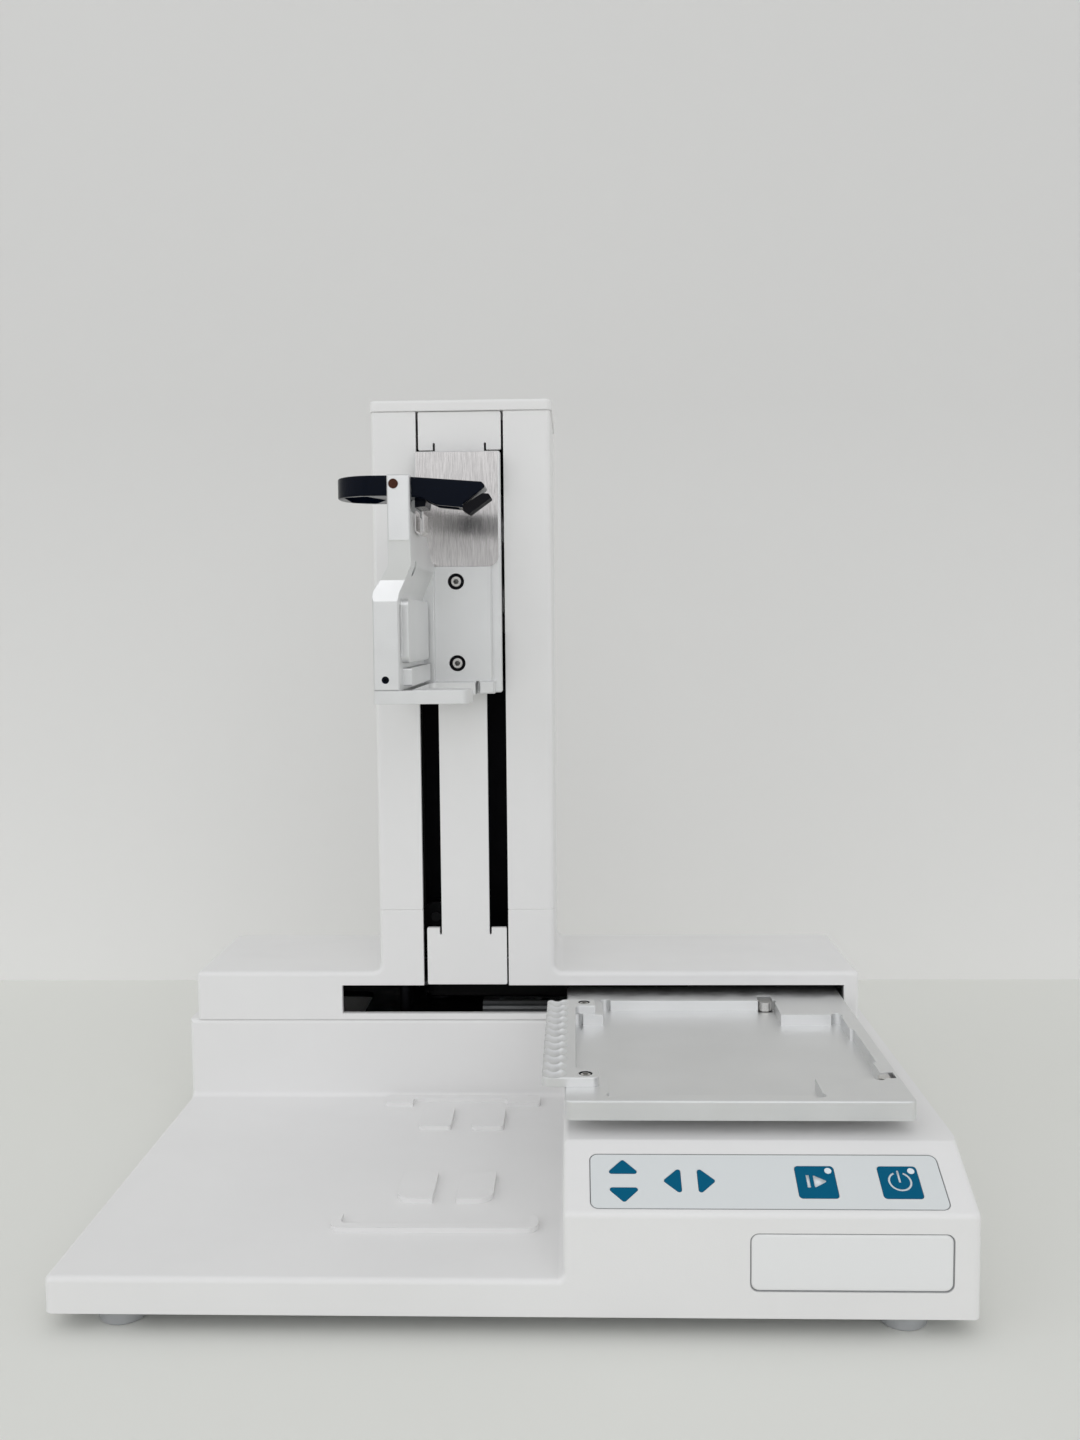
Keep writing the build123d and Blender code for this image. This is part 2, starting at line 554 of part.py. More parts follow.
def square_key():
    return RectangleRounded(KEY_W, KEY_H, 1.4)


KEYS = {
    "key_up": (43.8, 22.1, arrow(0)),
    "key_down": (43.9, 8.9, arrow(180)),
    "key_left": (62.3, 15.5, arrow(90)),
    "key_right": (75.5, 15.5, arrow(-90)),
    "key_run": (KEY_RUN_X, KEY_S, square_key()),
    "key_power": (KEY_POWER_X, KEY_S, square_key()),
}


def keypad_membrane():
    """Pale overlay sheet on the sloped panel, cut out round each key."""
    x, s = sum(MEMBRANE_X) / 2, sum(MEMBRANE_S) / 2
    outline = RectangleRounded(MEMBRANE_X[1] - MEMBRANE_X[0], MEMBRANE_S[1] - MEMBRANE_S[0], 3.0)
    sheet = on_panel(outline, x, s, -1.0, MEMBRANE_T - 1.0)
    for key_x, key_s, outline in KEYS.values():
        sheet -= on_panel(offset(outline, KEY_GAP), key_x, key_s, -2.0, 1.0)
    return sheet


def key(name):
    """One key: its printed face fills the cut-out and its stem reaches towards the switch."""
    x, s, outline = KEYS[name]
    body = on_panel(outline, x, s, -2.4, -0.1) + on_panel(Circle(1.8), x, s, -3.6, -2.3)
    if name in ("key_run", "key_power"):
        body -= on_panel(Circle(LENS_R + 0.1), x + LENS_AT[0], s + LENS_AT[1], -0.7, 0.5)
    return body


def status_lens(name):
    """Clear light window set in the corner of a square key."""
    x, s = KEYS[name][:2]
    return on_panel(Circle(LENS_R), x + LENS_AT[0], s + LENS_AT[1], -0.7, -0.05)


def keypad_board():
    """Circuit board under the keypad: a snap dome for each key, and spacers to the shell."""
    x, s = sum(MEMBRANE_X) / 2, sum(MEMBRANE_S) / 2
    board = on_panel(Rectangle(134.0, 25.0), x, s, -6.4, -4.9)
    for key_x, key_s, _ in KEYS.values():
        board += on_panel(Circle(2.6), key_x, key_s, -5.0, -4.4)
    for dx in (-65.0, 65.0):
        board += on_panel(Circle(1.5), x + dx, s, -5.0, -WALL)
    return board


def front_badge():
    """Bare raised badge plate on the console's front face."""
    return slab_on_front((90.2, 164.9), (18.4, 40.4), FRONT + 0.1, FRONT + 0.8, 3.0)


def control_board():
    """Main circuit board on the bottom plate, with its larger parts."""
    z = PLATE_Z[1]
    board = span(30.0, 150.0, -70.0, 30.0, z + 5.0, z + 6.6)
    for x in (34.0, 146.0):
        for y in (-66.0, 26.0):
            board += rod_z(2.5, x, y, (z, z + 5.2))
    board += span(60.0, 74.0, -40.0, -26.0, z + 6.5, z + 8.0)
    board += span(100.0, 126.0, 8.0, 18.0, z + 6.5, z + 14.0)
    for i in range(3):
        board += rod_z(5.0, 44.0 + 13 * i, 12.0, (z + 6.5, z + 20.0))
    return board


def power_inlet():
    """Low voltage power socket in the back wall, with its centre pin and lock nut."""
    y = (REAR - 17.0, REAR - 0.4)
    body = rod_y(5.5, INLET_X, y, INLET_Z)
    body += rod_y(8.0, INLET_X, (REAR - WALL - 2.2, REAR - WALL), INLET_Z)
    body = body - rod_y(3.2, INLET_X, (REAR - 13.0, REAR + 1), INLET_Z)
    return body + rod_y(1.0, INLET_X, (REAR - 14.0, REAR - 6.0), INLET_Z)


# --- Tray ---------------------------------------------------------------------------------

def nest(length_x, length_y, centre, low, high):
    """Rectangular nest for a plate, with a round relief at each corner."""
    half_x, half_y = (length_x + NEST_CLEAR) / 2, (length_y + NEST_CLEAR) / 2
    cx, cy = centre
    hollow = span(cx - half_x, cx + half_x, cy - half_y, cy + half_y, low, high)
    for sx in (-1, 1):
        for sy in (-1, 1):
            hollow += rod_z(2.6, cx + sx * (half_x - 1.6), cy + sy * (half_y - 0.6), (low, high))
    return hollow


def plate_tray():
    """Machined aluminium tray with crossed nests for a plate set down either way."""
    low, high = TRAY_Z
    plate = slab(TRAY_X, TRAY_Y, TRAY_Z, 3.0)
    tongue = span(TONGUE_X, TRAY_X[1], TRAY_Y[1] - 20, TONGUE_Y, low, high)
    plate += tongue
    inner = edges_at(plate, Axis.X, TONGUE_X, Axis.Z).sort_by(Axis.Y)[0]
    plate = fillet(inner, 5.0)
    plate = fillet(edges_at(plate, Axis.Y, TONGUE_Y, Axis.Z), 3.0)
    plate = chamfer(edges_at(plate, Axis.Z, high), 0.5)
    plate -= nest(PLATE_L, PLATE_W, NEST_WIDE_AT, POCKET_Z, high + 1)
    plate -= nest(PLATE_W, PLATE_L, NEST_TALL_AT, POCKET_Z, high + 1)
    # Finger relief along the right wall, and the two latch slots.
    plate -= slab((SIDE_LATCH_X - 8, SIDE_LATCH_X + 1.6), (-52.0, -6.5), (POCKET_Z, high + 1), 1.5)
    floor = POCKET_Z - LATCH_RELIEF
    plate -= span(REAR_LATCH_X - 3.6, REAR_LATCH_X + 3.6, REAR_LATCH_Y - 2, REAR_LATCH_Y + 8.4,
                  floor, high + 1)
    plate -= span(SIDE_LATCH_X - 2, SIDE_LATCH_X + 5.4, SIDE_LATCH_Y - 3.6, SIDE_LATCH_Y + 3.6,
                  floor, high + 1)
    for x, y in COMB_SCREWS:
        plate -= rod_z(1.55, x, y, (low - 1, high + 1))
    for x, y in TRAY_SCREWS:
        plate -= rod_z(1.55, x, y, (low - 1, high + 1)) + rod_z(2.9, x, y, (high - 2.4, high + 1))
    return plate


def latch_body(width, nose, length):
    """Latch along local X: a rounded nose at the origin's side and a square tail."""
    outline = make_face(Polyline((0.9, -width / 2), (length, -width / 2), (length, width / 2),
                                 (0.9, width / 2), (-nose, width / 4), (-nose, -width / 4), close=True))
    return extrude(fillet(outline.vertices().group_by(Axis.X)[0], 0.8), 4.4)


def rear_latch():
    body = Rot(0, 0, 90) * latch_body(LATCH_W, 1.3, 6.2)
    return Pos(REAR_LATCH_X, REAR_LATCH_Y, POCKET_Z + 0.2) * body


def side_latch():
    return Pos(SIDE_LATCH_X, SIDE_LATCH_Y, POCKET_Z + 0.2) * latch_body(LATCH_W, 1.3, 3.6)


def tip_comb():
    """Comb that steadies a row of pipette tips: a C-shaped plate with a row of dished seats."""
    low, high = COMB_Z
    plate = slab((12.0, 35.5), COMB_Y, COMB_Z, 3.0)
    plate -= slab((25.9, 45.0), (COMB_Y[0] + 10.9, COMB_Y[1] - 10.2), (low - 1, high + 1), 2.5)
    plate = chamfer(edges_at(plate, Axis.Z, high), 0.4)
    dish_r = (SEAT_R ** 2 + SEAT_DEPTH ** 2) / (2 * SEAT_DEPTH)
    for i in range(TIPS):
        plate -= Pos(SEAT_X, FIRST_SEAT_Y - TIP_PITCH * i, high + dish_r - SEAT_DEPTH) * Sphere(dish_r)
    for x, y in COMB_SCREWS:
        plate -= rod_z(1.55, x, y, (low - 1, high + 1)) + rod_z(2.9, x, y, (high - 2.6, high + 1))
    return plate


def cap_screw(length, head_r, head_h, drive_r):
    """Socket screw along local -Z: head top at z = 0, rounded rim, hexagon socket."""
    head = rod_z(head_r, 0, 0, (-head_h, 0))
    head = fillet(edges_at(head, Axis.Z, 0), 0.35)
    socket = Pos(0, 0, -head_h * 0.6) * extrude(RegularPolygon(drive_r, 6), head_h)
    return head - socket + rod_z(1.5, 0, 0, (-length, -head_h + 0.1))


def tray_screws():
    """Two screws that hold the comb on the tray and four that hold the tray on its bearing."""
    comb, tray = cap_screw(9.0, 2.3, 2.3, 1.3), cap_screw(7.6, 2.6, 2.2, 1.3)
    screws = [Pos(x, y, COMB_Z[1] - 0.3) * comb for x, y in COMB_SCREWS]
    screws += [Pos(x, y, TRAY_Z[1] - 0.2) * tray for x, y in TRAY_SCREWS]
    return Compound(screws)


def x_belt_clamp():
    """Clamp under the tongue that takes hold of the near run of the X belt."""
    run_y = X_PULLEY[1] - BELT_R
    y = (91.0, run_y + 2.6)
    block = span(114.0, 134.0, *y, 59.9, TRAY_Z[0])
    block = fillet(block.edges().filter_by(Axis.Y), 1.0)
    block -= span(113.0, 135.0, run_y - 1.0, run_y + 1.0, X_BELT_Z[0] - 0.4, TRAY_Z[0] + 1)
    return block - span(113.0, 135.0, run_y - 3.5, run_y + 5.0, TRAY_Z[0] - 0.9, TRAY_Z[0] + 1)


# --- Z carriage and pipette holder --------------------------------------------------------

def carriage_yoke():
    """Yoke that reaches from the Z bearing forward past both sides of the front strip."""
    low, high = YOKE_Z
    y = (CARRIAGE_Y[1], FRAME_Y[0] - GUIDE_H)
    plan = make_face(Polyline((-51.0, y[0]), (-44.2, y[0]), (-44.2, 82.0), (-16.8, 82.0), (-16.8, y[0]),
                              (-10.0, y[0]), (-10.0, y[1]), (-51.0, y[1]), close=True))
    yoke = extrude(Pos(0, 0, low) * plan, high - low)
    inner = yoke.edges().filter_by(Axis.Z).filter_by_position(Axis.Y, 81.9, 82.1)
    yoke = fillet(inner, 3.0)
    for x in ((-60.0, -40.0), (-20.0, -5.0)):
        for z in (279.0, 315.0):
            yoke -= slab_x(x, (56.0, 76.0), (z - 8, z + 8), 4.0)
    return yoke


def carriage_plate():
    """Front plate of the Z carriage, which covers the channel over the yoke."""
    plate = slab_on_front(CARRIAGE_X, CARRIAGE_Z, *CARRIAGE_Y, 1.2)
    plate = chamfer(edges_at(plate, Axis.Y, CARRIAGE_Y[0]), 0.5)
    for x, z in BRACKET_SCREWS:
        plate -= rod_y(1.55, x, (CARRIAGE_Y[0] - 1, CARRIAGE_Y[1] + 1), z)
    return plate


def wear_plate():
    """Brushed stainless panel on the upper half of the carriage plate."""
    y = (CARRIAGE_Y[0] - 1.2, CARRIAGE_Y[0])
    sheet = span(-51.6, -11.0, *y, 295.2, 351.4)
    return fillet(sheet.edges().filter_by(Axis.Y).group_by(Axis.Z)[0], 5.0)


def holder_bracket():
    """Back plate of the pipette holder, with a bevelled right edge and two screw pockets."""
    plate = span(-59.0, -14.2, *BRACKET_Y, SHELF_Z[1], 294.8)
    right = edges_at(plate, Axis.Y, BRACKET_Y[0], Axis.Z).sort_by(Axis.X)[-1]
    plate = chamfer(right, 0.8)
    plate += span(-59.0, UPPER_FACE_X, *BRACKET_Y, SEAT_Z, SHELF_Z[1] + 1)
    for x, z in BRACKET_SCREWS:
        plate -= rod_y(1.6, x, (BRACKET_Y[0] - 1, BRACKET_Y[1] + 1), z)
        plate -= rod_y(4.0, x, (BRACKET_Y[0] - 1, BRACKET_Y[0] + 3.4), z)
    return plate


def bracket_screws():
    parts = []
    for x, z in BRACKET_SCREWS:
        screw = Rot(90, 0, 0) * cap_screw(8.0, 2.55, 3.0, 1.45)
        parts.append(Pos(x, BRACKET_Y[0] + 0.4, z) * screw)
    return Compound(parts)


def holder_arm():
    """Side plate of the pipette holder: cranked front column, clevis for the lever, inner pads."""
    outline = [(-59.0, SEAT_Z), (SIDE_FACE_X, SEAT_Z), (SIDE_FACE_X, 279.0),
               (UPPER_FACE_X, 291.5), (UPPER_FACE_X, 329.2), (-52.0, 329.2), (-52.0, 291.2), (-59.0, 279.8)]
    arm = front_prism(outline, (ARM_FRONT, BRACKET_Y[0]))
    cranks = [e for e in arm.edges().filter_by(Axis.Y)
              if 275 < e.center().Z < 295]
    arm = fillet(cranks, 6.0)
    # Side view: the top falls away behind the clevis.
    drop = Plane.YZ.offset(-70) * make_face(Polyline(
        (-3.6, 335), (-3.6, 312.0), (28.0, 296.5), (BRACKET_Y[0] + 1, 296.5), (BRACKET_Y[0] + 1, 335),
        close=True))
    arm -= extrude(drop, 60)
    arm -= span(-70, -30, LEVER_Y[0] - LEVER_SIDE_GAP, LEVER_Y[1] + LEVER_SIDE_GAP, 314.0, 340.0)
    arm = chamfer(edges_at(arm, Axis.Y, ARM_FRONT), 0.6)
    # The front falls back below the clevis and steps out again over the lower column.
    step = make_face(Polyline((ARM_FRONT - 9, STEP_Z[1]), (ARM_FRONT, STEP_Z[1]), (ARM_FRONT + STEP_IN, 285.0),
                              (ARM_FRONT, STEP_Z[0]), (ARM_FRONT - 9, STEP_Z[0]), close=True))
    step = fillet(step.vertices().sort_by(Axis.Y)[-1], 2.5)
    arm -= extrude(Plane.YZ.offset(-70) * step, 40)
    # Raised inner pad and the lower guide bar, with a milled gap round each.
    arm += fillet(slab_x((SIDE_FACE_X - 1, -44.6), (-43.0, 29.0), (249.6, 277.4), 3.0)
                  .edges().filter_by_position(Axis.X, -44.7, -44.5), 0.6)
    arm += slab_x((SIDE_FACE_X - 1, -44.0), (-40.0, 29.0), (239.6, 247.4), 0.8)
    arm -= slab_x((SIDE_FACE_X - 2.2, SIDE_FACE_X + 1), (-48.6, -44.4), (252.0, 275.0), 1.8)
    arm -= slab_x((SIDE_FACE_X - 2.2, SIDE_FACE_X + 1), (30.4, 35.4), (252.0, 272.0), 1.8)
    arm += span(SIDE_FACE_X - 1, UPPER_FACE_X, 33.0, BRACKET_Y[0], SEAT_Z, 296.0)
    arm -= rod_x(3.4, (-46.6, -38.0), -34.0, 290.5)
    arm -= rod_y(PIN_R, PIVOT_X, (ARM_FRONT - 1, -3.0), PIVOT_Z)
    return arm - rod_y(SET_SCREW_R, SET_SCREW_X, (ARM_FRONT - 1, ARM_FRONT + 12.0), SET_SCREW_Z)


def pivot_pin():
    """Copper coloured pin through both cheeks of the clevis."""
    return rod_y(PIN_R, PIVOT_X, (ARM_FRONT - 0.3, -3.8), PIVOT_Z)


def set_screw():
    body = rod_y(SET_SCREW_R, SET_SCREW_X, (ARM_FRONT + 0.8, ARM_FRONT + 8.0), SET_SCREW_Z)
    socket = Plane.XZ.offset(-ARM_FRONT) * Pos(SET_SCREW_X, SET_SCREW_Z) * RegularPolygon(0.8, 6)
    return body - extrude(socket, -3.0)


def fork_shelf():
    """Forked shelf that a hand held pipette's body slides over: front tongue and rear ledge."""
    plate = span(-59.2, -18.0, ARM_FRONT, BRACKET_Y[1], *SHELF_Z)
    plate = fillet(upright_edges(plate).group_by(Axis.Y)[0].sort_by(Axis.X)[-1], 4.0)
    plate = fillet(upright_edges(plate).group_by(Axis.X)[0], 1.0)
    plate -= slab((-44.0, 0.0), (-35.5, 27.5), (SHELF_Z[0] - 1, SHELF_Z[1] + 1), 3.0)
    plate -= slab((-22.0, 0.0), (20.0, 50.0), (SHELF_Z[0] - 1, SHELF_Z[1] + 1), 0.8)
    plate = chamfer(edges_at(plate, Axis.Z, SHELF_Z[1]), 0.4)
    return plate - span(-60.0, UPPER_FACE_X, ARM_FRONT - 1, BRACKET_Y[1] + 1, SEAT_Z, SHELF_Z[1] + 1)


def stop_block():
    """Small block at the foot of the carriage plate, right of the shelf."""
    block = span(-20.6, -13.0, 33.0, CARRIAGE_Y[0], *SHELF_Z)
    return chamfer(edges_at(block, Axis.Y, 33.0), 0.6)


def clip_spring():
    """Bent steel leaf on the side plate's inner face: a hook that is open under the lever's heel."""
    leaf = Polyline((-42.05, 315.6), (-42.05, 306.8), (-41.0, 305.6), (-39.6, 305.6), (-38.5, 306.8),
                    (-38.5, 314.0))
    face = Plane.XZ.offset(35.0) * trace(leaf, 0.5)
    return extrude(face, -14.0)


def z_belt_clamp():
    """Clamp on the Z bearing that takes hold of the near run of the Z belt."""
    run_x = Z_PULLEY[0] + BELT_R
    z = (286.0, 310.0)
    block = span(run_x - 2.8, Z_RAIL_X - BEARING_W / 2, Z_BELT_Y[0] - 1.0, Z_BELT_Y[1] + 2.0, *z)
    return block - span(run_x - 1.0, run_x + 1.0, Z_BELT_Y[0] - 0.4, Z_BELT_Y[1] + 3.0, z[0] - 1, z[1] + 1)


# --- Clip lever ---------------------------------------------------------------------------

def finger_loop():
    """Round-ended loop left of the pivot, with a five-sided hole for a fingertip."""
    low, high = LOOP_Z
    y0, y1 = LEVER_Y
    half = (y1 - y0) / 2
    middle = (y0 + y1) / 2
    outline = Pos(LOOP_END_X + 20, middle) * RectangleRounded(40, 2 * half, half - 1.4)
    loop = extrude(Pos(0, 0, low) * outline, high - low)
    loop &= span(LOOP_END_X - 1, -50.0, y0, y1, low, high)
    loop = fillet([e for e in edges_at(loop, Axis.Z, low) + edges_at(loop, Axis.Z, high)
                   if e.center().X < -50.5], 0.6)
    corners = [(-72.4, middle - 10.8), (-62.0, middle - 15.2), (-55.6, middle), (-62.0, middle + 15.2),
               (-72.4, middle + 10.8)]
    hole = extrude(Pos(0, 0, low - 1) * make_face(Polyline(*corners, close=True)), high - low + 2)
    return loop - fillet(hole.edges().filter_by(Axis.Z), 1.5)


def clip_wing():
    """Hooked wing right of the pivot: bevelled rim, slanted end and a hollow underside."""
    y0 = LEVER_Y[0]
    outline = [(-50.0, 329.0), (-41.8, 328.7), (-12.4, 326.4), (-10.6, 324.4), (-20.4, 317.1), PAD_TOP,
               PAD_FOOT, (-31.6, 316.8), (-38.5, 320.0), (-50.0, 321.0)]
    wing = front_prism(outline, (y0, WING_REAR))
    tips = [e for e in wing.edges().filter_by(Axis.Y) if e.center().X > -14]
    wing = fillet(tips, 1.1)
    rim = [e for e in edges_at(wing, Axis.Y, y0) if e.center().X > -49 and e.center().Z > 317]
    wing = chamfer(rim, 0.5)
    hollow = front_prism([(-36.5, 325.0), (-18.5, 323.4), (-24.5, 312.0), (-36.5, 312.0)],
                         (y0 + 2.5, WING_REAR - 2.5))
    return wing - hollow


def clip_lever():
    """Black lever: finger loop, hub on the pivot pin, wing, and a heel that the leaf spring meets."""
    y0, y1 = LEVER_Y
    hub = rod_y(4.0, PIVOT_X, LEVER_Y, PIVOT_Z)
    heel = front_prism([(-41.9, 322.0), (-36.6, 322.0), (-37.4, 317.0), (-41.9, 316.6)], (y0 + 8.0, y1 - 8.0))
    lever = finger_loop() + hub + clip_wing() + heel
    return lever - rod_y(PIN_R + RUN_CLEAR, PIVOT_X, (y0 - 1, y1 + 1), PIVOT_Z)


def clip_pad():
    """Soft pad along the wing's slanted end, held at its foot, which presses on the pipette."""
    outline = [PAD_TOP, (-12.2, 321.6), (-9.4, 321.4), (-8.4, 319.7), (-17.9, 312.9), (-20.5, 314.4)]
    pad = front_prism(outline, (LEVER_Y[0] + 1.0, WING_REAR - 3.0))
    ends = [e for e in pad.edges().filter_by(Axis.Y) if e.center().X > -18]
    return fillet(ends, 0.8)


# --- Write every node ---------------------------------------------------------------------

NODES = {
    "base_shell": base_shell, "bottom_plate": bottom_plate, "feet": feet, "foot_screws": foot_screws,
    "chassis_posts": chassis_posts, "chassis_plate": chassis_plate, "rear_housing": rear_housing,
    "tower_cover": tower_cover, "tower_cap": tower_cap, "front_strip": front_strip,
    "strip_brackets": strip_brackets, "tower_frame": tower_frame, "tower_liner": tower_liner,
    "slot_liner": slot_liner, "x_rail": x_rail, "z_rail": z_rail, "x_motor": x_motor,
    "z_motor": z_motor, "x_belt": x_belt, "z_belt": z_belt, "idler_pins": idler_pins,
    "keypad_membrane": keypad_membrane, "keypad_board": keypad_board, "front_badge": front_badge,
    "control_board": control_board, "power_inlet": power_inlet,
    "run_lens": lambda: status_lens("key_run"), "power_lens": lambda: status_lens("key_power"),
    "x_drive_pulley": lambda: flat_pulley(X_PULLEY), "x_idler_pulley": lambda: flat_pulley(X_IDLER),
    "z_drive_pulley": lambda: upright_pulley(Z_PULLEY),
    "z_idler_pulley": lambda: upright_pulley(Z_IDLER),
    "plate_tray": plate_tray, "tip_comb": tip_comb, "tray_screws": tray_screws,
    "x_bearing": x_bearing, "x_belt_clamp": x_belt_clamp,
    "rear_latch": rear_latch, "side_latch": side_latch,
    "carriage_yoke": carriage_yoke, "carriage_plate": carriage_plate, "wear_plate": wear_plate,
    "holder_bracket": holder_bracket, "bracket_screws": bracket_screws, "holder_arm": holder_arm,
    "pivot_pin": pivot_pin, "set_screw": set_screw, "fork_shelf": fork_shelf,
    "stop_block": stop_block, "clip_spring": clip_spring, "z_bearing": z_bearing,
    "z_belt_clamp": z_belt_clamp, "clip_lever": clip_lever, "clip_pad": clip_pad,
}
for key_name in KEYS:
    NODES[key_name] = lambda name=key_name: key(name)

os.makedirs(OUT, exist_ok=True)
for node_name, make in NODES.items():
    save(make(), node_name)
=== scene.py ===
"""Looks of a bench liquid handling robot, dressed around its fixed solid parts.

Lengths are in metres, in the frame's own axes: +X to the operator's right, +Y to the back, +Z up.
The solid parts keep their places. This script gives them their finishes, adds the printed and
fitted pieces and thin films of painted shadow, and sets up the studio.
"""
import logging
import math
from dataclasses import dataclass
from enum import Enum

import bpy
import numpy as np
from mathutils import Matrix, Vector


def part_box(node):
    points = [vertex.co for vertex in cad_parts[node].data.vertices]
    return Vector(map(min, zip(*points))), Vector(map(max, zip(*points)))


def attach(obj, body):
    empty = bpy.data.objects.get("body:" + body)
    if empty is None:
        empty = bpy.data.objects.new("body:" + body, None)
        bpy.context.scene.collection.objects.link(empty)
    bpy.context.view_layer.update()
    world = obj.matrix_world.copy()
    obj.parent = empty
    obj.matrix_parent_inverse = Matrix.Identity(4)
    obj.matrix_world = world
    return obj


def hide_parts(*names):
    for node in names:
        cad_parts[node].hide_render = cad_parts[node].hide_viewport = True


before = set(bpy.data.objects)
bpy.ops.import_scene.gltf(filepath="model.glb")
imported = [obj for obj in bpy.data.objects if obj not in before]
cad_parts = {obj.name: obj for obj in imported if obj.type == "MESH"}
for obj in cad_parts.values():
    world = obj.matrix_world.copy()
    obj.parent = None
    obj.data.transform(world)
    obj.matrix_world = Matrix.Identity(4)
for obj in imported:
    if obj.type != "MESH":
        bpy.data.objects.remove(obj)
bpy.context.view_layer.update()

LOG = logging.getLogger("liquid_handler")
MM = 0.001
NOISE_LOW, NOISE_HIGH = 0.3, 0.7       # what noise usually spans
TINT_LOW, TINT_HIGH = 0.32, 0.68       # where a blend of two colours starts and ends, in noise
BEVEL_SAMPLES = 6

Pair = tuple[float, float]
Triple = tuple[float, float, float]


# --- Finishes -------------------------------------------------------------------------------

class Graph:
    """Node tree of one material, with short calls for the nodes that the finishes share."""

    def __init__(self, name: str) -> None:
        """Start a material with its own principled shader.

        Args:
            name: The material's name.
        """
        self.material = bpy.data.materials.new(f"{name}_finish")
        self.material.use_nodes = True
        self.tree = self.material.node_tree
        self.shader = self.tree.nodes["Principled BSDF"]

    def node(self, kind: str) -> bpy.types.Node:
        """Add a node of one kind."""
        return self.tree.nodes.new(kind)

    def link(self, source: bpy.types.NodeSocket, target: bpy.types.NodeSocket) -> None:
        """Join two sockets."""
        self.tree.links.new(source, target)

    def place(self, stretch: Triple = (1.0, 1.0, 1.0)) -> bpy.types.NodeSocket:
        """Give object coordinates in metres, stretched along each axis.

        Args:
            stretch: Factor on each coordinate, so a low one draws a pattern out along its axis.

        Returns:
            The vector socket.
        """
        where = self.node("ShaderNodeTexCoord")
        mapping = self.node("ShaderNodeMapping")
        mapping.inputs["Scale"].default_value = stretch
        self.link(where.outputs["Object"], mapping.inputs["Vector"])
        return mapping.outputs["Vector"]

    def noise(self, vector: bpy.types.NodeSocket, per_metre: float, detail: float = 3.0) -> bpy.types.NodeSocket:
        """Give cloudy noise.

        Args:
            vector: Where it is read.
            per_metre: Features along a metre.
            detail: Octaves of finer noise.

        Returns:
            The value socket, which spans about NOISE_LOW to NOISE_HIGH.
        """
        cloud = self.node("ShaderNodeTexNoise")
        cloud.inputs["Scale"].default_value = per_metre
        cloud.inputs["Detail"].default_value = detail
        self.link(vector, cloud.inputs["Vector"])
        return cloud.outputs["Fac"]

    def remap(self, value: bpy.types.NodeSocket, source: Pair, target: Pair) -> bpy.types.NodeSocket:
        """Carry a value from one range over to another, and hold it inside.

        Args:
            value: The value socket.
            source: The range that it has.
            target: The range that it gets.

        Returns:
            The new value's socket.
        """
        ranger = self.node("ShaderNodeMapRange")
        ranger.inputs["From Min"].default_value, ranger.inputs["From Max"].default_value = source
        ranger.inputs["To Min"].default_value, ranger.inputs["To Max"].default_value = target
        self.link(value, ranger.inputs["Value"])
        return ranger.outputs["Result"]

    def spread(self, value: bpy.types.NodeSocket, low: float, high: float) -> bpy.types.NodeSocket:
        """Carry noise from its usual range over to another."""
        return self.remap(value, (NOISE_LOW, NOISE_HIGH), (low, high))

    def rise(self, top: float) -> bpy.types.NodeSocket:
        """Give the height above the table in the range of noise, so it can blend two colours.

        Args:
            top: Height in metres from which the value stays at its highest.

        Returns:
            The value socket.
        """
        parts = self.node("ShaderNodeSeparateXYZ")
        self.link(self.place(), parts.inputs["Vector"])
        return self.remap(parts.outputs["Z"], (0.0, top), (NOISE_LOW, NOISE_HIGH))

    def tint(self, value: bpy.types.NodeSocket, first: Triple, second: Triple) -> bpy.types.NodeSocket:
        """Blend two colours by noise."""
        ramp = self.node("ShaderNodeValToRGB")
        low, high = ramp.color_ramp.elements
        low.position, high.position = TINT_LOW, TINT_HIGH
        low.color, high.color = (*first, 1.0), (*second, 1.0)
        self.link(value, ramp.inputs["Fac"])
        return ramp.outputs["Color"]

    def bump(self, height: bpy.types.NodeSocket, depth: float, strength: float = 1.0) -> None:
        """Raise the surface by a pattern.

        Args:
            height: The pattern.
            depth: Its depth in metres.
            strength: How much of it shows.
        """
        bump = self.node("ShaderNodeBump")
        bump.inputs["Distance"].default_value = depth
        bump.inputs["Strength"].default_value = strength
        self.link(height, bump.inputs["Height"])
        previous = self.shader.inputs["Normal"].links
        if previous:
            self.link(previous[0].from_socket, bump.inputs["Normal"])
        self.link(bump.outputs["Normal"], self.shader.inputs["Normal"])

    def soften_edges(self, radius: float) -> None:
        """Round off the look of sharp edges, before any bump is added.

        Args:
            radius: Radius in metres.
        """
        bevel = self.node("ShaderNodeBevel")
        bevel.samples = BEVEL_SAMPLES
        bevel.inputs["Radius"].default_value = radius
        self.link(bevel.outputs["Normal"], self.shader.inputs["Normal"])

    def set(self, **values: float) -> None:
        """Set constants on the shader's own sockets, with _ for a space in a socket's name."""
        for key, value in values.items():
            self.shader.inputs[key.replace("_", " ")].default_value = value


def shade(colour: Triple, factor: float) -> Triple:
    """Darken or lighten a colour by one factor."""
    return tuple(min(1.0, channel * factor) for channel in colour)


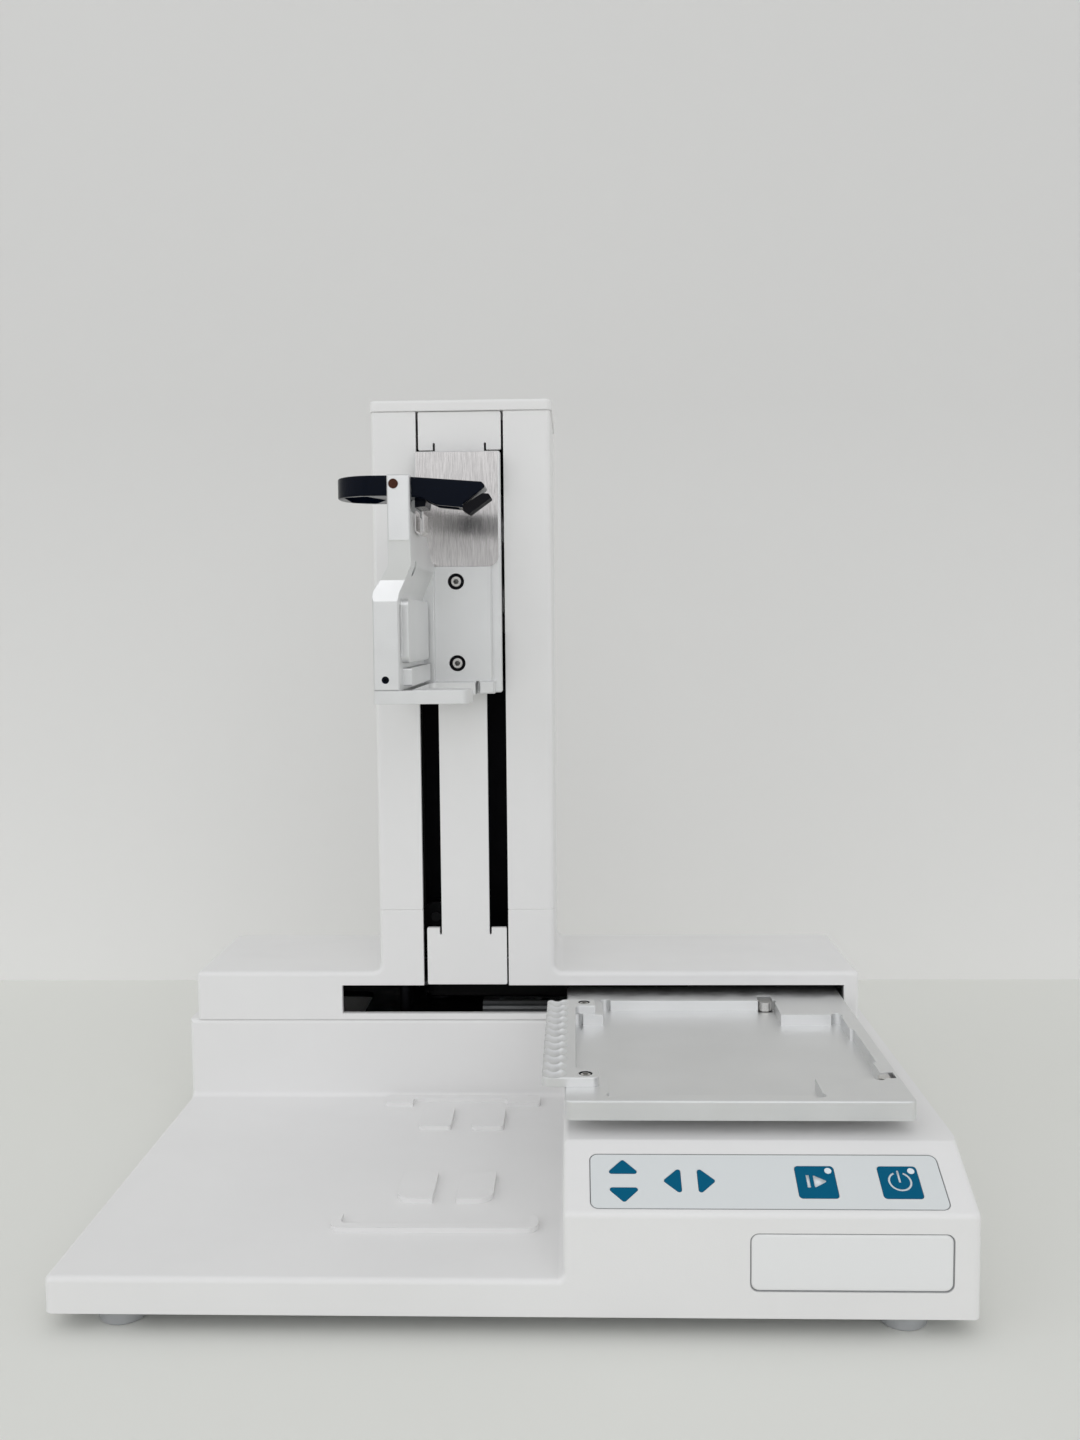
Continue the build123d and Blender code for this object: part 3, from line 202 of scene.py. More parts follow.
@dataclass(frozen=True)
class Moulded:
    """Moulded or coated plastic: fine grain, soft mottling and a satin sheen."""

    name: str
    colour: Triple
    mottle: float = 0.03
    roughness: Pair = (0.36, 0.5)
    grain_per_metre: float = 1900.0
    grain_depth: float = 0.00003
    specular: float = 0.5
    coat: float = 0.0
    coat_roughness: float = 0.12
    edge: float = 0.0002
    clouds_per_metre: float = 14.0
    smears_per_metre: float = 55.0
    smear_stretch: Triple = (1.0, 1.6, 1.0)

    def make(self) -> bpy.types.Material:
        """Build the material."""
        graph = Graph(self.name)
        where = graph.place()
        cloud = graph.noise(where, self.clouds_per_metre, 4.0)
        grain = graph.noise(where, self.grain_per_metre, 2.0)
        colour = graph.tint(cloud, shade(self.colour, 1.0 - self.mottle), self.colour)
        graph.link(colour, graph.shader.inputs["Base Color"])
        smear = graph.noise(graph.place(self.smear_stretch), self.smears_per_metre, 5.0)
        graph.link(graph.spread(smear, *self.roughness), graph.shader.inputs["Roughness"])
        graph.soften_edges(self.edge)
        graph.bump(grain, self.grain_depth)
        graph.set(Specular_IOR_Level=self.specular, Coat_Weight=self.coat,
                  Coat_Roughness=self.coat_roughness)
        return graph.material


@dataclass(frozen=True)
class Blasted:
    """Bead blasted, clear anodised aluminium: a fine matt grain that catches light evenly."""

    name: str
    colour: Triple
    roughness: Pair = (0.36, 0.46)
    bead_per_metre: float = 2600.0
    bead_depth: float = 0.00004
    mottle: float = 0.05
    edge: float = 0.0003
    clouds_per_metre: float = 30.0
    marks_per_metre: float = 120.0

    def make(self) -> bpy.types.Material:
        """Build the material."""
        graph = Graph(self.name)
        where = graph.place()
        cloud = graph.noise(where, self.clouds_per_metre, 5.0)
        bead = graph.noise(where, self.bead_per_metre, 1.5)
        colour = graph.tint(cloud, shade(self.colour, 1.0 - self.mottle), self.colour)
        graph.link(colour, graph.shader.inputs["Base Color"])
        marks = graph.noise(where, self.marks_per_metre, 4.0)
        graph.link(graph.spread(marks, *self.roughness), graph.shader.inputs["Roughness"])
        graph.soften_edges(self.edge)
        graph.bump(bead, self.bead_depth)
        graph.set(Metallic=1.0)
        return graph.material


@dataclass(frozen=True)
class Brushed:
    """Brushed or ground metal, with its scratches drawn out along one axis.

    Where it is directed, a reflection smears across the scratches and stays sharp along them.
    """

    name: str
    colour: Triple
    stretch: Triple
    roughness: Pair = (0.22, 0.4)
    scratch_per_metre: float = 2200.0
    scratch_depth: float = 0.00003
    contrast: float = 0.8
    directed: float = 0.0
    scratches_per_band: float = 14.0

    def make(self) -> bpy.types.Material:
        """Build the material."""
        graph = Graph(self.name)
        scratch = graph.noise(graph.place(self.stretch), self.scratch_per_metre, 4.0)
        bands = graph.noise(graph.place(self.stretch), self.scratch_per_metre / self.scratches_per_band, 2.0)
        colour = graph.tint(scratch, shade(self.colour, self.contrast), self.colour)
        graph.link(colour, graph.shader.inputs["Base Color"])
        graph.link(graph.spread(bands, *self.roughness), graph.shader.inputs["Roughness"])
        graph.bump(scratch, self.scratch_depth)
        graph.set(Metallic=1.0, Anisotropic=self.directed)
        return graph.material


@dataclass(frozen=True)
class Soft:
    """Rubber or soft moulding: dull, with a fine dusty bloom."""

    name: str
    colour: Triple
    bloom: float = 1.25
    roughness: Pair = (0.62, 0.82)
    dust_per_metre: float = 90.0
    grain_per_metre: float = 1400.0
    grain_depth: float = 0.00006
    specular: float = 0.14

    def make(self) -> bpy.types.Material:
        """Build the material."""
        graph = Graph(self.name)
        where = graph.place()
        dust = graph.noise(where, self.dust_per_metre, 6.0)
        colour = graph.tint(dust, self.colour, shade(self.colour, self.bloom))
        graph.link(colour, graph.shader.inputs["Base Color"])
        graph.link(graph.spread(dust, *self.roughness), graph.shader.inputs["Roughness"])
        graph.bump(graph.noise(where, self.grain_per_metre, 3.0), self.grain_depth)
        graph.set(Specular_IOR_Level=self.specular)
        return graph.material


class Finish(Enum):
    """A named choice among finishes, each with one material."""

    @property
    def material(self) -> bpy.types.Material:
        """The finish's material, made at its first use."""
        return bpy.data.materials.get(f"{self.name}_finish") or self.value.make()


class Look(Finish):
    """Every finish of the object, by the record's material slot."""

    white_casing = Moulded("white_casing", (0.856, 0.852, 0.846))
    silver_aluminium = Blasted("silver_aluminium", (0.80, 0.805, 0.805))
    brushed_stainless = Brushed("brushed_stainless", (0.80, 0.775, 0.76), (1.0, 1.0, 0.08), (0.17, 0.22), 2400.0,
                                0.00003, 0.74, 0.95)
    screw_steel = Brushed("screw_steel", (0.66, 0.65, 0.63), (1.0, 1.0, 1.0), (0.25, 0.38), 1600.0, 0.00001, 0.85)
    black_lever = Moulded("black_lever", (0.001, 0.003, 0.009), 0.2, (0.16, 0.26), 1500.0, 0.00001, 0.09)
    soft_black = Soft("soft_black", (0.004, 0.004, 0.006))
    grey_foot = Soft("grey_foot", (0.40, 0.41, 0.42), 1.12)
    black_aluminium = Blasted("black_aluminium", (0.012, 0.012, 0.014), (0.4, 0.55))
    black_sheet = Moulded("black_sheet", (0.05, 0.05, 0.05), 0.25, (0.32, 0.5), 1500.0, 0.00003, 0.35)
    zinc_steel = Brushed("zinc_steel", (0.60, 0.61, 0.63), (1.0, 0.3, 1.0), (0.35, 0.5), 900.0, 0.00002, 0.9)
    guide_steel = Brushed("guide_steel", (0.52, 0.53, 0.54), (0.08, 1.0, 0.08), (0.2, 0.34))
    motor_black = Moulded("motor_black", (0.03, 0.03, 0.034), 0.2, (0.4, 0.6), 1200.0, 0.00005)
    pulley_metal = Brushed("pulley_metal", (0.03, 0.03, 0.033), (1.0, 1.0, 0.2), (0.3, 0.42))
    belt_rubber = Soft("belt_rubber", (0.02, 0.02, 0.02))
    copper_pin = Brushed("copper_pin", (0.075, 0.032, 0.022), (1.0, 1.0, 1.0), (0.28, 0.42), 1500.0, 0.00001, 0.8)
    overlay_film = Moulded("overlay_film", (0.745, 0.775, 0.78), 0.012, (0.34, 0.42), 2600.0, 0.000008, 0.4)
    teal_key = Moulded("teal_key", (0.0, 0.113, 0.22), 0.05, (0.34, 0.42), 2600.0, 0.000008, 0.07)
    light_window = Moulded("light_window", (0.80, 0.88, 0.93), 0.02, (0.12, 0.2), 900.0, 0.000004, 0.5, 0.3)
    board_green = Moulded("board_green", (0.02, 0.15, 0.06), 0.15, (0.25, 0.4), 700.0, 0.00002)
    socket_black = Moulded("socket_black", (0.018, 0.018, 0.02), 0.15, (0.35, 0.5))
    badge_film = Moulded("badge_film", (0.86, 0.865, 0.865), 0.01, (0.10, 0.18), 600.0, 0.000004, 0.5, 0.5)


class Ink(Finish):
    """Printed marks and films of painted shadow that share a slot with the piece that carries them."""

    icon_white = Moulded("icon_white", (0.80, 0.86, 0.90), 0.01, (0.3, 0.4), 2600.0, 0.000005)
    # Painted shade inside a screw's six-sided socket.
    painted_socket_shade = Moulded("painted_socket_shade", (0.30, 0.30, 0.29), 0.5, (0.25, 0.4), 900.0, 0.00006)
    # Painted shadow in the gap round the overlay and round the badge.
    painted_gap_shadow = Moulded("painted_gap_shadow", (0.30, 0.31, 0.32), 0.1, (0.5, 0.7), 900.0, 0.00001)


# --- Surfaces -------------------------------------------------------------------------------

def rounded_outline(corners: np.ndarray, radius: float, steps: int = 8) -> np.ndarray:
    """Round off the corners of a convex outline.

    At a corner, the two unit vectors towards its neighbours give the bisector. The arc's centre
    lies on it at radius over the sine of the half angle, and its points swing about that centre
    from one tangent point to the other.

    Args:
        corners: N by 2 corners, anticlockwise.
        radius: Radius of every corner.
        steps: Points on each arc.

    Returns:
        N * steps by 2 points, anticlockwise.
    """
    back = np.roll(corners, 1, 0) - corners
    ahead = np.roll(corners, -1, 0) - corners
    back /= np.linalg.norm(back, axis=1, keepdims=True)
    ahead /= np.linalg.norm(ahead, axis=1, keepdims=True)
    half = np.arccos(np.clip((back * ahead).sum(1), -1.0, 1.0)) / 2.0
    bisector = back + ahead
    bisector /= np.linalg.norm(bisector, axis=1, keepdims=True)
    centre = corners + bisector * (radius / np.sin(half))[:, None]
    out = np.arctan2(-bisector[:, 1], -bisector[:, 0])
    sweep = np.linspace(-1.0, 1.0, steps)[None, :] * (math.pi / 2.0 - half)[:, None]
    angle = out[:, None] + sweep
    points = centre[:, None, :] + radius * np.stack([np.cos(angle), np.sin(angle)], -1)
    return points.reshape(-1, 2)


def rectangle(centre: Pair, size: Pair) -> np.ndarray:
    """Corners of a rectangle, anticlockwise, from its centre and its two sides."""
    signs = np.array([(-1.0, -1.0), (1.0, -1.0), (1.0, 1.0), (-1.0, 1.0)])
    return np.array(centre) + signs * np.array(size) / 2.0


def grid_object(name: str, points: np.ndarray, around: bool = True, along: bool = False,
                caps: bool = False) -> bpy.types.Object:
    """Make a mesh from a grid of points.

    The face at row i and column j joins points (i, j), (i, j + 1), (i + 1, j + 1), (i + 1, j),
    with the columns and the rows wrapping round where they are closed.

    Args:
        name: The piece's name.
        points: Rows by columns by 3 array.
        around: Whether the last column joins the first.
        along: Whether the last row joins the first.
        caps: Whether the first and the last row are filled by one face each.

    Returns:
        The linked object, with smooth shading and outward faces.
    """
    rows, columns = points.shape[:2]
    index = np.arange(rows * columns).reshape(rows, columns)
    i = np.arange(rows if along else rows - 1)[:, None]
    j = np.arange(columns if around else columns - 1)[None, :]
    i2, j2 = (i + 1) % rows, (j + 1) % columns
    quads = np.stack([index[i, j], index[i, j2], index[i2, j2], index[i2, j]], -1).reshape(-1, 4)
    faces = quads.tolist()
    if caps:
        faces += [index[0, ::-1].tolist(), index[-1].tolist()]
    mesh = bpy.data.meshes.new(name)
    mesh.from_pydata(points.reshape(-1, 3).tolist(), [], faces)
    mesh.polygons.foreach_set("use_smooth", np.ones(len(faces), bool))
    mesh.update()
    piece = bpy.data.objects.new(name, mesh)
    bpy.context.scene.collection.objects.link(piece)
    return piece


@dataclass(frozen=True)
class Plane:
    """A flat place that thin pieces are laid on: an origin and its three unit directions."""

    origin: Triple
    right: Triple
    up: Triple

    def carry(self, flat: np.ndarray, height: np.ndarray | float) -> np.ndarray:
        """Carry flat points onto the plane.

        Args:
            flat: Points by their distance to the right and up.
            height: Distance of each off the plane.

        Returns:
            The points in the frame's own axes.
        """
        right, up = np.array(self.right), np.array(self.up)
        lift = np.asarray(height)[..., None] * np.cross(right, up)
        return np.array(self.origin) + flat[..., :1] * right + flat[..., 1:] * up + lift


def film(name: str, plane: Plane, outline: np.ndarray, low: float, high: float) -> bpy.types.Object:
    """Lay a thin solid film with one outline: its wall, and a face at its foot and its top."""
    flat = np.stack([outline, outline])
    height = np.array([low, high])[:, None] * np.ones(len(outline))
    return grid_object(name, plane.carry(flat, height), caps=True)


def band(name: str, plane: Plane, inner: np.ndarray, outer: np.ndarray, low: float,
         high: float) -> bpy.types.Object:
    """Lay a flat ring between two outlines of as many points, as a closed strip with four sides."""
    flat = np.stack([inner, outer, outer, inner])
    height = np.array([low, low, high, high])[:, None] * np.ones(len(inner))
    return grid_object(name, plane.carry(flat, height), along=True)


def ring_tube(name: str, plane: Plane, centre: Pair, radius: float, thickness: Pair,
              height: float) -> bpy.types.Object:
    """Lay a ring of oval section: one angle goes round the ring, the other round its section.

    Args:
        name: The piece's name.
        plane: What it is laid on.
        centre: Its centre on the plane.
        radius: To the middle of the section.
        thickness: Half width and half height of the section.
        height: Of the section's middle off the plane.

    Returns:
        The object.
    """
    round_angle = np.linspace(0.0, 2.0 * math.pi, 48, endpoint=False)[None, :]
    section = np.linspace(0.0, 2.0 * math.pi, 12, endpoint=False)[:, None]
    reach = radius + thickness[0] * np.cos(section) * np.ones_like(round_angle)
    flat = np.stack([centre[0] + reach * np.cos(round_angle), centre[1] + reach * np.sin(round_angle)], -1)
    lift = height + thickness[1] * np.sin(section) * np.ones_like(round_angle)
    return grid_object(name, plane.carry(flat, lift), along=True)


def finish_piece(piece: bpy.types.Object, finish: Finish, body: str) -> bpy.types.Object:
    """Give a new piece its material and the body that it rides on.

    Args:
        piece: The new object.
        finish: Its finish.
        body: The body's name.

    Returns:
        The same piece.
    """
    piece.data.materials.append(finish.material)
    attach(piece, body)
    LOG.info("piece %s rides on %s", piece.name, body)
    return piece


def dress_nodes(finish: Look, *names: str) -> None:
    """Give solid parts their finish."""
    for name in names:
        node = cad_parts[name]
        node.data.materials.clear()
        node.data.materials.append(finish.material)
        LOG.info("part %s is dressed in %s", name, finish.name)


# --- Sub-assemblies -------------------------------------------------------------------------

@dataclass
class Casing:
    """White mouldings of the base, the rear housing and the tower, and what shows inside them."""

    white: tuple[str, ...] = ("base_shell", "rear_housing", "tower_cover", "tower_cap", "front_strip")
    black: tuple[str, ...] = ("tower_liner", "slot_liner")

    def build(self) -> None:
        """Give every casing part its finish."""
        dress_nodes(Look.white_casing, *self.white)
        dress_nodes(Look.black_sheet, *self.black)
        dress_nodes(Look.black_aluminium, "tower_frame", "chassis_plate")
        dress_nodes(Look.zinc_steel, "bottom_plate", "strip_brackets", "chassis_posts")
        dress_nodes(Look.grey_foot, "feet")
        dress_nodes(Look.screw_steel, "foot_screws")
        dress_nodes(Look.socket_black, "power_inlet")
        dress_nodes(Look.board_green, "control_board")


@dataclass
class Drives:
    """Guides, motors, pulleys and belts of both axes."""

    steel: tuple[str, ...] = ("x_rail", "z_rail", "x_bearing", "z_bearing", "idler_pins", "x_belt_clamp",
                              "z_belt_clamp")
    pulleys: tuple[str, ...] = ("x_drive_pulley", "x_idler_pulley", "z_drive_pulley", "z_idler_pulley")

    def build(self) -> None:
        """Dress the drives."""
        dress_nodes(Look.guide_steel, *self.steel)
        dress_nodes(Look.pulley_metal, *self.pulleys)
        dress_nodes(Look.motor_black, "x_motor", "z_motor")
        dress_nodes(Look.belt_rubber, "x_belt", "z_belt")


@dataclass
class Keypad:
    """Sloped keypad: pale overlay, teal keys with white marks, and light windows."""

    console_top: float = 47.6 * MM
    platform_top: float = 62.8 * MM
    panel_run: float = 31.7 * MM
    sheet_x: Pair = (31.2 * MM, 164.4 * MM)
    sheet_s: Pair = (2.6 * MM, 28.0 * MM)
    sheet_radius: float = 3.0 * MM
    line_width: float = 0.22 * MM
    face_height: float = -0.1 * MM
    ink: float = 0.03 * MM
    run_centre: Pair = (116.8 * MM, 15.1 * MM)
    power_centre: Pair = (148.2 * MM, 15.1 * MM)
    mark_rise: float = 0.35 * MM
    bar_left: float = 3.05 * MM
    bar_size: Pair = (1.15 * MM, 5.7 * MM)
    bar_radius: float = 0.2 * MM
    arrow_left: float = 0.95 * MM
    arrow_tip: float = 4.1 * MM
    arrow_half: float = 2.95 * MM
    arrow_radius: float = 0.4 * MM
    ring_shift: Pair = (0.1 * MM, 0.45 * MM)
    ring_radii: Pair = (3.7 * MM, 4.45 * MM)
    ring_gap: float = math.radians(25.0)
    ring_steps: int = 64
    stem_rise: float = 2.7 * MM
    stem_size: Pair = (0.75 * MM, 5.5 * MM)
    stem_radius: float = 0.25 * MM
    keys: tuple[str, ...] = ("key_up", "key_down", "key_left", "key_right", "key_run", "key_power")

    def panel(self) -> Plane:
        """The sloped panel, with its origin at the middle of the console's front edge."""
        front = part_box("base_shell")[0].y
        slope = math.atan2(self.platform_top - self.console_top, self.panel_run)
        return Plane((0.0, front, self.console_top), (1.0, 0.0, 0.0), (0.0, math.cos(slope), math.sin(slope)))

    def ink_span(self) -> Pair:
        """Lower and upper height of a printed film, off the panel."""
        return self.face_height - self.ink, self.face_height + self.ink

    def print_on(self, name: str, outline: np.ndarray, body: str) -> None:
        """Print one white mark on a key."""
        mark = film(name, self.panel(), outline, *self.ink_span())
        finish_piece(mark, Ink.icon_white, body)

    def build_run_mark(self) -> None:
        """Bar and a triangle that points right."""
        x, s = self.run_centre
        middle = s + self.mark_rise
        bar = rectangle((x - self.bar_left, middle), self.bar_size)
        self.print_on("run_bar", rounded_outline(bar, self.bar_radius), "key_run")
        left, tip = x - self.arrow_left, x + self.arrow_tip
        triangle = np.array([(left, middle - self.arrow_half), (tip, middle), (left, middle + self.arrow_half)])
        self.print_on("run_arrow", rounded_outline(triangle, self.arrow_radius), "key_run")

    def build_power_mark(self) -> None:
        """Ring with a gap at its top, and a bar that stands in the gap.

        The ring's outline runs out along its outer radius from one end of the gap to the other
        and back along its inner radius, so the grid has one row for each radius and height.
        """
        x, s = self.power_centre
        centre = np.array(self.power_centre) + self.ring_shift
        angle = np.linspace(math.pi / 2 + self.ring_gap, 2.5 * math.pi - self.ring_gap, self.ring_steps)
        ray = np.stack([np.cos(angle), np.sin(angle)], -1)
        inner, outer = (centre + ray * radius for radius in self.ring_radii)
        low, high = self.ink_span()
        flat = np.stack([inner, inner, outer, outer], 1)
        height = np.array([low, high, high, low])[None, :] * np.ones((len(angle), 1))
        ring = grid_object("power_ring", self.panel().carry(flat, height), caps=True)
        finish_piece(ring, Ink.icon_white, "key_power")
        stem = rectangle((x, s + self.stem_rise), self.stem_size)
        self.print_on("power_bar", rounded_outline(stem, self.stem_radius), "key_power")

    def build_gap_shadow_line(self) -> None:
        """Painted shadow line round the overlay, in the gap where it meets its seat."""
        centre = (sum(self.sheet_x) / 2, sum(self.sheet_s) / 2)
        size = np.array([self.sheet_x[1] - self.sheet_x[0], self.sheet_s[1] - self.sheet_s[0]])
        outer = rounded_outline(rectangle(centre, size), self.sheet_radius)
        inner = rounded_outline(rectangle(centre, size - 2 * self.line_width), self.sheet_radius - self.line_width)
        line = band("overlay_gap_shadow", self.panel(), inner, outer, *self.ink_span())
        finish_piece(line, Ink.painted_gap_shadow, "base")

    def build(self) -> None:
        """Dress the keypad, print its marks and lay the painted shadow line round its overlay."""
        dress_nodes(Look.overlay_film, "keypad_membrane")
        dress_nodes(Look.teal_key, *self.keys)
        dress_nodes(Look.light_window, "run_lens", "power_lens")
        dress_nodes(Look.board_green, "keypad_board")
        self.build_run_mark()
        self.build_power_mark()
        self.build_gap_shadow_line()


@dataclass
class Badge:
    """Bare domed plate in its seat on the console's front."""

    radius: float = 3.0 * MM
    line_width: float = 0.2 * MM
    rise: float = 0.6 * MM
    dome_steps: int = 9

    def build(self) -> None:
        """Build the dome and the painted shadow line round it, in the gap of its seat.

        The dome is a set of outlines drawn in step by step. The outline at share t of the way in
        stands at the rise times the square root of 1 - (1 - t) squared, a quarter of an ellipse.
        """
        low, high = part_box("front_badge")
        centre = ((low.x + high.x) / 2, (low.z + high.z) / 2)
        size = np.array([high.x - low.x, high.z - low.z])
        plane = Plane((0.0, high.y, 0.0), (1.0, 0.0, 0.0), (0.0, 0.0, 1.0))
        share = np.linspace(0.0, 1.0, self.dome_steps)
        rings = np.stack([
            rounded_outline(rectangle(centre, size - 2 * (self.line_width + t * self.radius / 2)),
                            self.radius * (1.0 - 0.5 * t))
            for t in share
        ])
        height = (high.y - low.y - self.rise) + self.rise * np.sqrt(1.0 - (1.0 - share) ** 2)
        rings = np.concatenate([rings[:1], rings])
        height = np.concatenate([[0.0], height])
        dome = grid_object("badge_dome", plane.carry(rings, height[:, None] * np.ones(rings.shape[1])), caps=True)
        finish_piece(dome, Look.badge_film, "base")
        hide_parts("front_badge")
        # Painted shadow in the gap round the badge, as a thin grey band.
        outer = rounded_outline(rectangle(centre, size), self.radius)
        inner = rounded_outline(rectangle(centre, size - 2 * self.line_width), self.radius - self.line_width)
        line = band("badge_gap_shadow", plane, inner, outer, 0.0, high.y - low.y - self.rise / 2)
        finish_piece(line, Ink.painted_gap_shadow, "base")


@dataclass
class Tray:
    """Plate tray with its comb, screws and latches."""

    washers: tuple[Pair, ...] = ((30.0 * MM, -76.6 * MM), (30.0 * MM, 22.4 * MM))
    washer_radius: float = 2.5 * MM
    washer_section: Pair = (0.42 * MM, 1.2 * MM)
    washer_depth: float = 1.2 * MM

    def build(self) -> None:
        """Dress the tray and fit dark washers round the comb's screws."""
        dress_nodes(Look.silver_aluminium, "plate_tray", "tip_comb")
        dress_nodes(Look.screw_steel, "tray_screws", "rear_latch", "side_latch")
        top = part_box("tip_comb")[1].z
        plane = Plane((0.0, 0.0, top), (1.0, 0.0, 0.0), (0.0, 1.0, 0.0))
        for number, centre in enumerate(self.washers, 1):
            ring = ring_tube(f"comb_washer_{number}", plane, centre, self.washer_radius, self.washer_section,
                             -self.washer_depth)
            finish_piece(ring, Look.soft_black, "tray")


@dataclass
class Holder:
    """Z carriage with the pipette holder, its lever and its screws."""

    silver: tuple[str, ...] = ("holder_arm", "holder_bracket", "fork_shelf", "stop_block", "carriage_plate",
                               "carriage_yoke")
    screws: tuple[Pair, ...] = ((-31.8 * MM, 287.6 * MM), (-31.6 * MM, 247.3 * MM))
    ring_radius: float = 3.28 * MM
    ring_section: Pair = (0.67 * MM, 1.3 * MM)
    ring_depth: float = 1.6 * MM
    socket_radius: float = 1.3 * MM
    socket_turn: float = math.radians(12.0)
    socket_film: float = 0.02 * MM

    def build(self) -> None:
        """Dress the holder, fit a black ring round each of its two screws, and paint the shade inside each screw's
        socket.
        """
        dress_nodes(Look.silver_aluminium, *self.silver)
        dress_nodes(Look.brushed_stainless, "wear_plate", "clip_spring")
        dress_nodes(Look.screw_steel, "bracket_screws")
        dress_nodes(Look.black_lever, "clip_lever", "set_screw")
        dress_nodes(Look.soft_black, "clip_pad")
        dress_nodes(Look.copper_pin, "pivot_pin")
        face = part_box("holder_bracket")[0].y
        plane = Plane((0.0, face, 0.0), (1.0, 0.0, 0.0), (0.0, 0.0, 1.0))
        for number, centre in enumerate(self.screws, 1):
            ring = ring_tube(f"screw_ring_{number}", plane, centre, self.ring_radius, self.ring_section,
                             -self.ring_depth)
            finish_piece(ring, Look.soft_black, "z_carriage")
            self.paint_socket_shade(number, centre)

    def paint_socket_shade(self, number: int, centre: Pair) -> None:
        """Paint the shade inside the six-sided socket of one screw, as a grey film on its head.

        Args:
            number: Which screw it is.
            centre: The screw's place, in X and Z.
        """
        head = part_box("bracket_screws")[0].y
        plane = Plane((0.0, head, 0.0), (1.0, 0.0, 0.0), (0.0, 0.0, 1.0))
        angle = np.arange(6) * math.pi / 3.0 + self.socket_turn
        corners = np.array(centre) + self.socket_radius * np.stack([np.cos(angle), np.sin(angle)], -1)
        # Painted shade: a grey hexagon on the screw's head stands for the dark socket.
        shadow = film(f"screw_socket_{number}", plane, corners, 0.0, self.socket_film)
        finish_piece(shadow, Ink.painted_socket_shade, "z_carriage")


# --- Studio ---------------------------------------------------------------------------------

@dataclass(frozen=True)
class Area:
    """A soft square lamp that looks at one point."""

    name: str
    place: Triple
    aim: Triple
    side: float
    watts: float
    colour: Triple = (1.0, 1.0, 1.0)

    def build(self) -> None:
        """Hang the lamp."""
        lamp = bpy.data.lights.new(self.name, "AREA")
        lamp.shape = "SQUARE"
        lamp.size = self.side
        lamp.energy = self.watts
        lamp.color = self.colour
        holder = bpy.data.objects.new(self.name, lamp)
        bpy.context.scene.collection.objects.link(holder)
        holder.location = self.place
        holder.rotation_euler = (Vector(self.aim) - Vector(self.place)).to_track_quat("-Z", "Y").to_euler()


